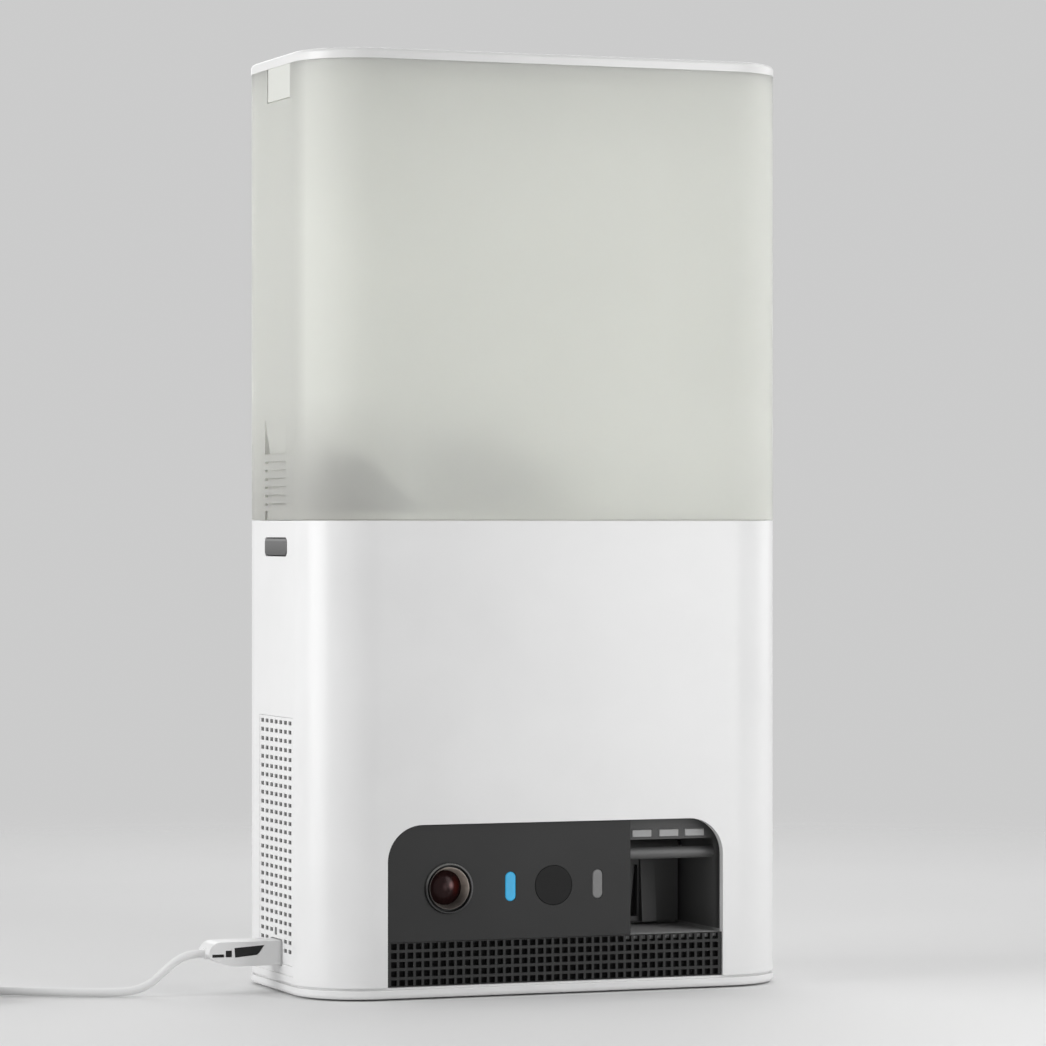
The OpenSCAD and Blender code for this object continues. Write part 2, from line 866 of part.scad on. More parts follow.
module speaker_cone() color(grey) {
    at_speaker(speaker_y + cone_in, cone_t) rotate(90) pill(
        speaker_h - 2 * (speaker_edge + cone_gap), speaker_w - 2 * (speaker_edge + cone_gap)
    );
    at_speaker(speaker_y + cone_in + cone_t, speaker_d - speaker_edge - cone_in - cone_t)
        rotate(90) pill(speaker_h - 2 * magnet_in.x, speaker_w - 2 * magnet_in.y);
}

// ---- Boards and port ----

module main_board() color(board_green) {
    upright(board_y, board_t) translate([board_x, board_z]) square(board_size);
    for (c = board_chips) {
        translate([board_x + c[0], board_y - c[4], board_z + c[1]]) cube([c[2], c[4], c[3]]);
    }
}

module board_clips() color(ivory) for (place = clip_places) {
    x = board_x + place;
    difference() {
        translate([x, board_y - clip_grip, shell_z]) cube([clip_w, 2 * clip_grip + board_t, clip_h]);
        upright(board_y - seat_gap / 2, board_t + seat_gap) translate([x - over, board_z - seat_gap / 2])
            square([clip_w + 2 * over, clip_h]);
    }
}

module port_board() color(board_green) {
    sideways(port_board_x, port_board_t) translate([plug_y - port_board_size.x / 2, shell_z])
        square(port_board_size);
    translate([
        port_board_x - reset_switch.x, reset_y - reset_switch.y / 2, reset_z - reset_switch.z / 2
    ]) cube(reset_switch);
}

module usb_port() color(steel) sideways(port_x, port_board_x - port_x) translate([plug_y, plug_z])
    difference() {
        round_rect(port_shell.x, port_shell.y, port_shell_r);
        round_rect(
            port_shell.x - 2 * port_shell_t, port_shell.y - 2 * port_shell_t,
            port_shell_r - port_shell_t / 2
        );
    }

module reset_button() color(black)
    sideways(reset_in - half_w, port_board_in - reset_in - reset_switch.x - reset_travel)
        reset_outline(0);

// ---- Launch chamber ----

module launch_chute() color(dark) difference() {
    union() {
        difference() {
            translate([launch_x - chute_t, chute_front, launch_z - chute_t]) cube([
                win_right - launch_x + 2 * chute_t, chute_back - chute_front,
                win_top - launch_z + 2 * chute_t
            ]);
            translate([launch_x, chute_front - over, launch_z]) cube([
                win_right - launch_x, chute_back - chute_t - chute_front + over, win_top - launch_z
            ]);
        }
        translate([launch_x, header_y, header_z])
            cube([win_right - launch_x, header_t, win_top - header_z]);
        for (x = [launch_x + leg_in, win_right - leg_in - leg_t]) {
            translate([x, chute_front + 2 * leg_in, shell_z])
                cube([leg_t, chute_back - chute_front - 4 * leg_in, launch_z - chute_t - shell_z]);
        }
    }
    translate([chute_mid - tube_in.x / 2, chute_mid_y - tube_in.y / 2, win_top - over])
        cube([tube_in.x, tube_in.y, chute_t + 2 * over]);
    bar_x(launch_x - chute_t - over, win_right + chute_t + over, kick_y, kick_z, kick_bore);
    bar_x(launch_x - chute_t - over, win_right + chute_t + over, guard_y, guard_z, guard_r + run_gap);
    for (x = insert_x) {
        translate([x - insert_size.x / 2, header_y - over, insert_z - insert_size.z / 2])
            cube([insert_size.x, insert_size.y - insert_proud + over, insert_size.z]);
    }
}

module chute_inserts() color(pale_grey) for (x = insert_x) {
    translate([
        x - insert_size.x / 2 + insert_gap, header_y - insert_proud,
        insert_z - insert_size.z / 2 + insert_gap
    ]) cube([insert_size.x - 2 * insert_gap, insert_size.y, insert_size.z - 2 * insert_gap]);
}

module chute_guard_bar() color(grey)
    bar_x(launch_x - chute_t, win_right + chute_t, guard_y, guard_z, guard_r);

module tube_hull(t, longer) {
    hull() {
        translate([drop_x, drop_y, deck_z - seat_gap - tube_lip])
            cylinder(r = drop_r + 2 * collar_step + t, h = tube_lip + longer, $fn = 32);
        translate([chute_mid - tube_in.x / 2 - t, chute_mid_y - tube_in.y / 2 - t, tube_foot - longer])
            cube([tube_in.x + 2 * t, tube_in.y + 2 * t, tube_lip + longer]);
    }
}

module drop_tube() color(ivory) difference() {
    union() {
        tube_hull(tube_t, 0);
        translate([
            chute_mid - tube_in.x / 2 - tube_flange, chute_mid_y - tube_in.y / 2 - tube_flange, tube_foot
        ]) cube([tube_in.x + 2 * tube_flange, tube_in.y + 2 * tube_flange, tube_flange_t]);
    }
    tube_hull(0, over);
}

// ---- Feeder ----

module feeder_motor() color(steel) translate([-wheel_x, 0, deck_z - feeder_motor_h]) difference() {
    union() {
        cylinder(r = feeder_motor_r, h = feeder_motor_h);
        translate([0, 0, -motor_cap_h]) cylinder(r = feeder_motor_r - motor_cap_in, h = motor_cap_h);
    }
    translate([0, 0, feeder_motor_h - dog_stem_in - dog_stem_room])
        cylinder(r = dog_stem_r + run_gap, h = dog_stem_in + dog_stem_room + over);
}

module drive_dog() color(white) translate([-wheel_x, 0, 0]) {
    translate([0, 0, deck_z - dog_stem_in]) cylinder(r = dog_stem_r, h = dog_z - deck_z + dog_stem_in);
    translate([0, 0, dog_z]) cylinder(r = dog_af / 2 / cos(30), h = dog_top - dog_z, $fn = 6);
}

// Half section of the wheel's hub, with a dome above the hood that stirs the treats
hub_section = concat(
    [[0, 0], [hub_r, 0], [hub_r, dome_foot - wheel_z], [dome_r, dome_base]],
    [for (a = [10 : 10 : 90]) [dome_r * cos(a), dome_base + (dome_h - dome_base) * sin(a)]]
);

module feeder_wheel() color(dark) translate([-wheel_x, 0, 0]) difference() {
    union() {
        translate([0, 0, wheel_z]) {
            rotate_extrude() polygon(hub_section);
            for (i = [0 : vanes - 1]) {
                rotate([0, 0, (i + 0.5) * 360 / vanes - drop_bearing])
                    translate([0, -vane_t / 2, 0]) cube([wheel_r, vane_t, vane_h]);
            }
        }
        translate([0, 0, pan_z]) cylinder(r = wheel_boss_r, h = wheel_z - pan_z + over);
    }
    translate([0, 0, pan_z - over])
        cylinder(r = dog_af / 2 / cos(30) + dog_gap, h = dog_top + slide_gap - pan_z + over, $fn = 6);
}

module drop_hood() color(frosted) translate([-wheel_x, 0, 0])
    rotate([0, 0, -drop_bearing - hood_angle / 2]) rotate_extrude(angle = hood_angle) {
        translate([wheel_r + hood_gap, pan_top]) square([hood_t, hood_z + hood_t - pan_top]);
        translate([hub_r + hood_gap, hood_z]) square([wheel_r - hub_r + hood_t, hood_t]);
    }

// ---- Kicker ----

function involute(a) = tan(a) * 180 / PI - a;

// Half of a tooth's angle at radius p, for a gear of pitch radius r
function tooth_half(p, r, n) =
    90 / n + involute(pressure) - involute(acos(min(1, r * cos(pressure) / p))) - backlash / r;

// Outline of an involute gear whose first tooth points along +X
function gear_points(n) =
    let (
        r = gear_m * n / 2,
        foot = r - 1.25 * gear_m,
        base = max(foot, r * cos(pressure)),
        radii = [for (k = [0 : 4]) base + (r + gear_m - base) * k / 4]
    )
    [
        for (i = [0 : n - 1])
            let (c = i * 360 / n, h = tooth_half(base, r, n))
            each concat(
                [foot * [cos(c - h), sin(c - h)]],
                [for (p = radii) p * [cos(c - tooth_half(p, r, n)), sin(c - tooth_half(p, r, n))]],
                [for (k = [4 : -1 : 0]) let (p = radii[k], a = c + tooth_half(p, r, n)) p * [cos(a), sin(a)]],
                [foot * [cos(c + h), sin(c + h)]]
            )
    ];

module kicker() color(dark) difference() {
    union() {
        bar_x(launch_x + paddle_side, win_right - paddle_side, kick_y, kick_z, hub_thick);
        translate([launch_x + paddle_side, kick_y - paddle_front, paddle_foot])
            cube([win_right - launch_x - 2 * paddle_side, paddle_t, kick_z - paddle_foot]);
        translate([strip_x, 0, 0]) sideways(0, strip_w) polygon([
            [kick_y - paddle_front + strip_seat, paddle_foot],
            [kick_y - paddle_front - strip_foot, paddle_foot],
            [kick_y - paddle_front - strip_top, kick_z - over],
            [kick_y - paddle_front + strip_seat, kick_z - over]
        ]);
    }
    bar_x(launch_x, win_right, kick_y, kick_z, kick_shaft_r + shaft_press);
    upright(kick_y - paddle_front - over, paddle_t + 2 * over) polygon([
        [strip_x - slot_in[0], paddle_foot + slot_foot], [strip_x - slot_in[1], paddle_foot + slot_foot],
        [strip_x - slot_in[2], kick_z - slot_drop], [strip_x - slot_in[3], kick_z - slot_drop]
    ]);
}

module kicker_shaft() color(steel)
    bar_x(gear_x - shaft_end, win_right + chute_t + shaft_end, kick_y, kick_z, kick_shaft_r);

module kicker_gear() color(white) difference() {
    sideways(gear_x, gear_w) translate([kick_y, kick_z]) polygon(gear_points(gear_teeth));
    bar_x(gear_x - over, gear_x + gear_w + over, kick_y, kick_z, kick_shaft_r + shaft_press);
}

module kicker_pinion() color(steel) {
    sideways(gear_x, gear_w) translate([motor_y, kick_z]) rotate(180 / pinion_teeth)
        polygon(gear_points(pinion_teeth));
    bar_x(motor_face - pinion_shaft_in, gear_x + gear_w + shaft_end, motor_y, kick_z, pinion_shaft_r);
}

module kicker_motor() color(steel) difference() {
    union() {
        bar_x(motor_face - motor_l, motor_face, motor_y, kick_z, motor_r);
        bar_x(motor_face - over, motor_face + motor_nose, motor_y, kick_z, motor_nose_r);
    }
    bar_x(
        motor_face - pinion_shaft_in - slide_gap, motor_face + over, motor_y, kick_z,
        pinion_shaft_r + run_gap
    );
}

module motor_cradle() color(ivory) difference() {
    translate([motor_face - cradle_in - cradle_l, motor_y - motor_r - cradle_lip, shell_z])
        cube([cradle_l, 2 * (motor_r + cradle_lip), kick_z - cradle_drop - shell_z]);
    bar_x(motor_face - motor_l, motor_face, motor_y, kick_z, motor_r + seat_gap);
}

// ---- Release buttons ----

module release_button() {
    translate([slide_gap - inner_x, button_y, button_z]) rotate([0, -90, 0]) soft_block(
        button_h, button_w, button_round - slide_gap, wall + slide_gap + button_proud,
        button_edge, 0
    );
    translate([slide_gap - inner_x, button_y - button_w / 2 - flange_reach, deck_top + 2 * slide_gap])
        cube([button_flange_t, button_w + 2 * flange_reach, spigot_z - slide_gap - deck_top - 2 * slide_gap]);
    translate([slide_gap - inner_x, button_y - latch_w / 2, deck_top + slide_gap])
        cube([latch_x + inner_x + latch_t - slide_gap, latch_w, spigot_z - 2 * slide_gap - deck_top]);
    translate([latch_x, button_y - latch_w / 2, deck_top + slide_gap])
        cube([latch_t, latch_w, pan_z - 4 * slide_gap - deck_top]);
    translate([latch_x - hook_reach, button_y - latch_w / 2, pan_z - hook_drop - slide_gap])
        cube([hook_reach + over, latch_w, hook_t]);
}

module release_button_left() color(grey) release_button();

module release_button_right() color(grey) mirror([1, 0, 0]) release_button();

// ---- Hopper and lid ----

// Cuts of one thumb grip: a ramp, the grooves below it and a notch at the foot
module grip_cuts() {
    translate([0, grip_y + grip_w / 2, 0]) rotate([90, 0, 0]) linear_extrude(grip_w) polygon([
        [-half_w - over, grip_top], [-half_w, grip_top], [-half_w + grip_deep, grip_step],
        [-half_w - over, grip_step]
    ]);
    for (i = [1 : grip_ribs - 1]) {
        translate([-half_w - over, grip_y - grip_w / 2, grip_step - i * grip_pitch - grip_groove / 2])
            cube([over + grip_groove_deep, grip_w, grip_groove]);
    }
    translate([-half_w - over, grip_y + grip_w / 2 - grip_notch.y, hopper_z - over])
        cube(grip_notch + [over, 0, over]);
}

module hopper() color(frosted) difference() {
    translate([0, 0, hopper_z]) plan_ring(0, wall, lid_z - hopper_z);
    for (s = [0, 1]) {
        mirror([s, 0, 0]) {
            grip_cuts();
            translate([-half_w - over, tab_y - tab_w / 2 - slide_gap, lid_z - tab_h - slide_gap])
                cube([wall + 2 * over, tab_w + 2 * slide_gap, tab_h + slide_gap + over]);
        }
    }
}

module hopper_floor() color(ivory) difference() {
    union() {
        translate([0, 0, pan_z]) linear_extrude(pan_t) plan(wall + seat_gap);
        translate([0, 0, spigot_z]) plan_ring(wall + spigot_gap, spigot_t, spigot_h);
    }
    translate([drop_x, drop_y, pan_z - over]) cylinder(r = drop_r, h = pan_t + 2 * over);
    translate([-wheel_x, 0, pan_z - over]) cylinder(r = wheel_boss_r + wheel_boss_gap, h = pan_t + 2 * over);
    for (s = [-1, 1]) {
        translate([
            s * inner_x - channel_w / 2, button_y - latch_w / 2 - channel_gap, spigot_z - over
        ]) cube([channel_w, latch_w + 2 * channel_gap, spigot_h + over - slide_gap]);
    }
}

module lid() color(white) {
    translate([0, 0, lid_z]) soft_block(
        body_w + 2 * lid_proud, body_d + 2 * lid_proud, corner_r + lid_proud, lid_h,
        lid_round, 0
    );
    translate([0, 0, lid_z - skirt_h]) plan_ring(wall + skirt_in, skirt_t, skirt_h);
    for (s = [0, 1]) {
        mirror([s, 0, 0]) translate([tab_in - half_w, tab_y - tab_w / 2, lid_z - tab_h])
            cube([wall - tab_in - tab_gap, tab_w, tab_h]);
    }
}

module lid_seal() color(pale_grey) translate([0, 0, lid_z - skirt_h + seal_up])
    plan_ring(wall + seal_gap, skirt_in - seal_gap, seal_h);

// ---- Power lead ----

// The grip from the side: a blunt upper corner over a long sweep
module usb_plug_side() {
    nose_r = plug_h / 2;
    foot = plug_z - nose_r;
    intersection() {
        union() {
            translate([plug_end + nose_r, plug_z]) circle(nose_r);
            translate([plug_end, foot]) square([plug_l, nose_r]);
            translate([plug_end + nose_r, foot]) square([plug_l - nose_r, plug_h]);
        }
        union() {
            translate([plug_end + plug_sweep, foot + plug_sweep_r]) circle(plug_sweep_r);
            translate([plug_end + plug_sweep, foot]) square([plug_l - plug_sweep, plug_h]);
        }
    }
}

// Openings in the grip's flanks, where its dark core shows
module usb_plug_windows(shrink) {
    translate([plug_end, plug_z]) {
        polygon([
            [7.8 + shrink, shrink - 1], [14.5, shrink - 0.4], [15.2 - shrink, 0.2],
            [16.7 - shrink, 2.4 - shrink], [7.6 + shrink, 1.8 - shrink]
        ]);
        translate([5 + shrink, shrink - 0.8]) square([1.9 - 2 * shrink, 1.9 - 2 * shrink]);
        translate([1 + shrink, shrink - 0.8]) square([3.6 - 2 * shrink, 0.9 - 2 * shrink]);
    }
}

module usb_plug_grip() color(white) difference() {
    union() {
        intersection() {
            upright(plug_y - plug_w / 2, plug_w) usb_plug_side();
            translate([plug_end + plug_l / 2, plug_y, 0]) linear_extrude(2 * plug_z)
                round_rect(plug_l + 2 * plug_side_r, plug_w, plug_side_r);
        }
        bar_x(plug_end, plug_end + plug_relief_l, plug_y, plug_z, cord_d / 2 + plug_relief_t);
    }
    upright(plug_y - plug_w / 2 - over, plug_w + 2 * over) usb_plug_windows(0);
}

module usb_plug_core() color(black)
    upright(plug_y - plug_w / 2 + plug_core_in, plug_w - 2 * plug_core_in)
        usb_plug_windows(plug_core_gap);

module usb_plug_tip() color(steel) sideways(plug_in - half_w, plug_tip_l)
    translate([plug_y, plug_z]) square(plug_tip, center = true);

function unit(v) = v / norm(v);

function heading(path, i) = unit(path[min(i + 1, len(path) - 1)] - path[max(i - 1, 0)]);

// Ring of points square to the path at its point i
function ring(path, i, r, sides) =
    let (
        t = heading(path, i),
        across = unit(cross(t, [0, 0, 1])),
        up = cross(across, t)
    )
    [
        for (k = [0 : sides - 1])
            let (a = (k + 0.5) * 360 / sides) path[i] + r * (across * cos(a) + up * sin(a))
    ];

// Closed tube along a path, with flat ends
module tube(path, r, sides) {
    n = len(path);
    polyhedron(
        [for (i = [0 : n - 1]) each ring(path, i, r, sides)],
        concat(
            [for (k = [1 : sides - 2]) [0, k, k + 1]],
            [
                for (i = [0 : n - 2], k = [0 : sides - 1])
                    let (a = i * sides + k, b = i * sides + (k + 1) % sides)
                    each [[a, a + sides, b + sides], [a, b + sides, b]]
            ],
            [for (k = [1 : sides - 2]) let (e = (n - 1) * sides) [e, e + k + 1, e + k]]
        )
    );
}

module power_cord() color(white) tube(cord_route, cord_d / 2, cord_sides);

module cord_tail() color(white) tube(tail_route, cord_d / 2, cord_sides);

// Place on the coil after t turns: each layer spirals, and half a turn climbs to the next
function coil_at(t) =
    let (
        span = coil_turns + 0.5,
        layer = min(floor(t / span), coil_layers - 1),
        s = t - layer * span,
        inward = layer % 2 == 0,
        climb = max(0, s - coil_turns),
        flat_r = inward ? coil_out - coil_pitch * s : coil_in + coil_pitch * s,
        turn_r = inward
            ? coil_in - coil_pitch / 4 * sin(360 * climb)
            : coil_out + coil_pitch / 4 * sin(360 * climb),
        r = climb > 0 ? turn_r : flat_r,
        rise = (1 - cos(360 * climb)) / 2,
        a = 90 + 360 * t
    )
    [coil_x + r * cos(a), coil_y + r * sin(a), lead_z + coil_pitch * (layer + rise)];

coil_steps = coil_all * coil_rings;
coil_loops = [for (i = [0 : coil_steps]) coil_at(i / coil_rings)];
coil_path = concat(
    [coil_loops[0] + [cord_d, 0, 0]],
    coil_loops,
    [coil_loops[coil_steps] - [cord_d, 0, 0]]
);

// Least gap of the coil to itself, between rings that lie half a turn or more apart
function coil_least_gap() = min([
    for (i = [0 : len(coil_path) - 1 - coil_rings / 2], j = [i + coil_rings / 2 : len(coil_path) - 1])
        norm(coil_path[i] - coil_path[j])
]) - cord_d;

module cord_coil() color(white) {
    echo(coil_least_gap = coil_least_gap());
    tube(coil_path, cord_d / 2, coil_sides);
}

module usb_a_grip() color(white) translate([a_end.x, a_end.y - a_grip.y / 2, 0])
    soft_block(a_grip.x, a_grip.y, a_grip_r, a_grip.z, a_grip_edge, a_grip_edge);

module usb_a_shell() color(steel) translate([a_end.x, a_end.y - a_grip.y, a_grip.z / 2]) difference() {
    rotate([90, 0, 0]) linear_extrude(a_shell.y) difference() {
        round_rect(a_shell.x, a_shell.z, a_shell_r);
        round_rect(a_shell.x - 2 * a_shell_t, a_shell.z - 2 * a_shell_t, a_shell_r - a_shell_t / 2);
    }
    for (s = [-1, 1]) {
        translate([s * a_shell_hole_x, -a_shell.y / 2, a_shell.z / 2])
            cube([a_shell_hole, a_shell_hole, a_shell.z], center = true);
    }
}

module usb_a_tongue() color(tongue_black)
    translate([a_end.x - a_tongue.x / 2, a_end.y - a_grip.y - a_tongue.y, a_grip.z / 2 - a_tongue.z])
        cube(a_tongue);

// ---- Parts ----

base_plate();
rubber_feet();
base_screws();
chassis_posts();
body_shell();
front_panel();
speaker_grille();
grille_cloth();
side_vent_grille();
top_deck();
deck_screws();
launch_chute();
chute_inserts();
chute_guard_bar();
drop_tube();
lens_ring();
lens_trim();
lens_dome();
lens_barrel();
camera_board();
status_light_blue();
status_light_grey();
sensor_window();
led_board();
speaker_frame();
speaker_cone();
main_board();
board_clips();
port_board();
usb_port();
reset_button();
feeder_motor();
kicker_motor();
motor_cradle();
release_button_left();
release_button_right();
kicker();
kicker_shaft();
kicker_gear();
kicker_pinion();
hopper();
hopper_floor();
drop_hood();
feeder_wheel();
drive_dog();
lid();
lid_seal();
usb_plug_grip();
usb_plug_core();
usb_plug_tip();
power_cord();
cord_coil();
cord_tail();
usb_a_grip();
usb_a_shell();
usb_a_tongue();
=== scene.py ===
"""Looks of the treat tossing pet camera: dressed pieces, materials, lights and camera, in metres."""
import json
import math

import bmesh
import bpy
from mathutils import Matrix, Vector

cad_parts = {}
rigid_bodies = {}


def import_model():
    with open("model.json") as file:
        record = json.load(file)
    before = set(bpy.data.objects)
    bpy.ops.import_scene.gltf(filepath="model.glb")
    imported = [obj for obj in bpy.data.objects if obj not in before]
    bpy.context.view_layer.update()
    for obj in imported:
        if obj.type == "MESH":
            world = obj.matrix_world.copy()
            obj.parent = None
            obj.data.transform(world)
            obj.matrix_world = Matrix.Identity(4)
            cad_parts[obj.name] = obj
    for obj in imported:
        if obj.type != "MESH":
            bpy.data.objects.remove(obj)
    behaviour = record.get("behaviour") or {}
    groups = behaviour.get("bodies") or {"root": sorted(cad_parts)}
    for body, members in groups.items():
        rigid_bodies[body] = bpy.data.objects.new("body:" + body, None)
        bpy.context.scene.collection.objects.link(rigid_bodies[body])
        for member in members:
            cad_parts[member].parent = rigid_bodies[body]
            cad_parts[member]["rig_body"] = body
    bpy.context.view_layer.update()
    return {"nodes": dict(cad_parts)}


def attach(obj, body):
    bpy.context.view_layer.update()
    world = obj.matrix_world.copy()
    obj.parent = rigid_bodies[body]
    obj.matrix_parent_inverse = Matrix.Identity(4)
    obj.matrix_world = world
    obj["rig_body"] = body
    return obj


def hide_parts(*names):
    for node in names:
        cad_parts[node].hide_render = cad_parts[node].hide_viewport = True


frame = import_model()
SCENE = bpy.context.scene
MM = 0.001

# ---- Camera: the photograph's place and angle, level, at the height of the seam ----

CAMERA_AT = (-0.4745, -1.2478, 0.1353)
CAMERA_TURN = -20.95
SENSOR_MM = 36.0
LENS_MM = 155.6


def make_camera():
    data = bpy.data.cameras.new("camera")
    data.sensor_width = SENSOR_MM
    data.lens = LENS_MM
    data.clip_start = 0.05
    data.clip_end = 20
    camera = bpy.data.objects.new("camera", data)
    camera.location = CAMERA_AT
    camera.rotation_euler = (math.radians(90), 0, math.radians(CAMERA_TURN))
    SCENE.collection.objects.link(camera)
    SCENE.camera = camera


make_camera()

# ---- Sizes that the pieces share, in millimetres as in the record ----

HALF_W = 74.0
HALF_D = 38.0
CORNER_R = 20.0
SEAM_Z = 136.0
EYE_Z = 31.2
LENS_X = -33.6
CORD_D = 2.4
WHEEL_AT = (-18.0, 0.0)


# ---- Node helpers ----

def new_material(name):
    material = bpy.data.materials.new(name)
    material.use_nodes = True
    tree = material.node_tree
    return material, tree.nodes, tree.links, tree.nodes["Principled BSDF"]


def noise_node(nodes, links, scale, detail=2.0, stretch=None):
    """Noise in the piece's own coordinates; scale counts features per metre."""
    place = nodes.new("ShaderNodeTexCoord")
    noise = nodes.new("ShaderNodeTexNoise")
    noise.inputs["Scale"].default_value = scale
    noise.inputs["Detail"].default_value = detail
    source = place.outputs["Object"]
    if stretch:
        mapping = nodes.new("ShaderNodeMapping")
        mapping.inputs["Scale"].default_value = stretch
        links.new(source, mapping.inputs["Vector"])
        source = mapping.outputs["Vector"]
    links.new(source, noise.inputs["Vector"])
    return noise.outputs["Fac"]


def spread(nodes, links, value, low, high):
    """Map a value of about 0.3 to 0.7 onto low to high."""
    ramp = nodes.new("ShaderNodeMapRange")
    ramp.inputs["From Min"].default_value = 0.3
    ramp.inputs["From Max"].default_value = 0.7
    ramp.inputs["To Min"].default_value = low
    ramp.inputs["To Max"].default_value = high
    links.new(value, ramp.inputs["Value"])
    return ramp.outputs["Result"]


def tint(nodes, links, value, low, high):
    """Blend two colours by a noise value."""
    ramp = nodes.new("ShaderNodeValToRGB")
    ramp.color_ramp.elements[0].position = 0.35
    ramp.color_ramp.elements[0].color = (*low, 1)
    ramp.color_ramp.elements[1].position = 0.65
    ramp.color_ramp.elements[1].color = (*high, 1)
    links.new(value, ramp.inputs["Fac"])
    return ramp.outputs["Color"]


def along(nodes, links, axis, start, end):
    """Value that rises from 0 to 1 between two places on an axis, in millimetres.

    The axis is X, Y or Z of the piece; |X| counts from the middle to both sides.
    """
    place = nodes.new("ShaderNodeTexCoord")
    split = nodes.new("ShaderNodeSeparateXYZ")
    ramp = nodes.new("ShaderNodeMapRange")
    ramp.inputs["From Min"].default_value = start * MM
    ramp.inputs["From Max"].default_value = end * MM
    links.new(place.outputs["Object"], split.inputs["Vector"])
    value = split.outputs[axis.strip("|")]
    if axis.startswith("|"):
        size = nodes.new("ShaderNodeMath")
        size.operation = "ABSOLUTE"
        links.new(value, size.inputs[0])
        value = size.outputs["Value"]
    links.new(value, ramp.inputs["Value"])
    return ramp.outputs["Result"]


def overlaid(nodes, links, shade, overlays):
    """Blend colours over a shade, each where all its (axis, start, end) ramps have risen."""
    for ramps, colour in overlays:
        share = along(nodes, links, *ramps[0])
        for ramp in ramps[1:]:
            both = nodes.new("ShaderNodeMath")
            both.operation = "MULTIPLY"
            links.new(share, both.inputs[0])
            links.new(along(nodes, links, *ramp), both.inputs[1])
            share = both.outputs["Value"]
        shade = blended(nodes, links, share, shade, colour)
    return shade


def blended(nodes, links, share, first, second):
    """Blend a colour output into a plain colour."""
    mix = nodes.new("ShaderNodeMix")
    mix.data_type = "RGBA"
    links.new(share, mix.inputs["Factor"])
    links.new(first, mix.inputs["A"])
    mix.inputs["B"].default_value = (*second, 1)
    return mix.outputs["Result"]


def bumped(nodes, links, shader, value, strength, depth):
    bump = nodes.new("ShaderNodeBump")
    bump.inputs["Strength"].default_value = strength
    bump.inputs["Distance"].default_value = depth
    links.new(value, bump.inputs["Height"])
    links.new(bump.outputs["Normal"], shader.inputs["Normal"])


def moulded(
    name, colour, rough=0.38, grain=2600, relief=0.12, change=0.04, coat=0.0, gloss=0.5, overlays=(),
):
    """Moulded plastic: a fine spark-eroded grain, slight clouding and an uneven gloss."""
    material, nodes, links, shader = new_material(name)
    cloud = noise_node(nodes, links, 28, 3)
    fine = noise_node(nodes, links, grain, 3)
    low = tuple(c * (1 - change) for c in colour)
    shade = overlaid(nodes, links, tint(nodes, links, cloud, low, colour), overlays)
    links.new(shade, shader.inputs["Base Color"])
    links.new(spread(nodes, links, cloud, rough * 0.9, rough * 1.12), shader.inputs["Roughness"])
    shader.inputs["Specular IOR Level"].default_value = gloss
    shader.inputs["Coat Weight"].default_value = coat
    shader.inputs["Coat Roughness"].default_value = 0.2
    bumped(nodes, links, shader, fine, relief, 0.00005)
    return material


# The hopper's colour is darker on both side walls, and a painted shade darkens the foot of its left
# end
FROST_SIDES_AND_PAINTED_SHADE = [
    ([("|X|", 72.5, 73.8)], (0.765, 0.77, 0.742)),
    ([("X", -46, -66), ("Z", 172, 140)], (0.70, 0.70, 0.67)),
]


def frosted_plastic():
    """Milky translucent plastic that blurs what is behind it."""
    material, nodes, links, shader = new_material("frosted_plastic")
    cloud = noise_node(nodes, links, 20, 2)
    fine = noise_node(nodes, links, 3200, 3)
    low, high = (0.878, 0.885, 0.852), (0.898, 0.905, 0.872)
    # the base colour is darker on both side walls and carries a painted shade at the foot of the
    # left end
    shade = overlaid(nodes, links, tint(nodes, links, cloud, low, high), FROST_SIDES_AND_PAINTED_SHADE)
    links.new(shade, shader.inputs["Base Color"])
    links.new(spread(nodes, links, fine, 0.62, 0.7), shader.inputs["Roughness"])
    shader.inputs["IOR"].default_value = 1.4
    shader.inputs["Transmission Weight"].default_value = 0.6
    bumped(nodes, links, shader, fine, 0.1, 0.00004)
    return material


def metal(name, colour, rough, stretch, metallic=1.0, overlays=()):
    """Turned or drawn metal with fine marks along one direction."""
    material, nodes, links, shader = new_material(name)
    marks = noise_node(nodes, links, 900, 4, stretch)
    shader.inputs["Metallic"].default_value = metallic
    dark = tuple(c * 0.86 for c in colour)
    shade = overlaid(nodes, links, tint(nodes, links, marks, dark, colour), overlays)
    links.new(shade, shader.inputs["Base Color"])
    links.new(spread(nodes, links, marks, rough * 0.8, rough * 1.25), shader.inputs["Roughness"])
    bumped(nodes, links, shader, marks, 0.15, 0.00003)
    return material


def rubber(name, colour):
    material, nodes, links, shader = new_material(name)
    fine = noise_node(nodes, links, 1500, 5)
    low = tuple(c * 0.8 for c in colour)
    links.new(tint(nodes, links, fine, low, colour), shader.inputs["Base Color"])
    links.new(spread(nodes, links, fine, 0.62, 0.8), shader.inputs["Roughness"])
    bumped(nodes, links, shader, fine, 0.3, 0.00008)
    return material


def glowing(name, colour, strength):
    """The diffuser of a light, slightly clouded, that glows with a strength of its own."""
    material, nodes, links, shader = new_material(name)
    cloud = noise_node(nodes, links, 300, 2)
    low = tuple(c * 0.9 for c in colour)
    shade = tint(nodes, links, cloud, low, colour)
    links.new(shade, shader.inputs["Base Color"])
    links.new(shade, shader.inputs["Emission Color"])
    links.new(spread(nodes, links, cloud, 0.28, 0.36), shader.inputs["Roughness"])
    shader.inputs["Emission Strength"].default_value = strength
    return material


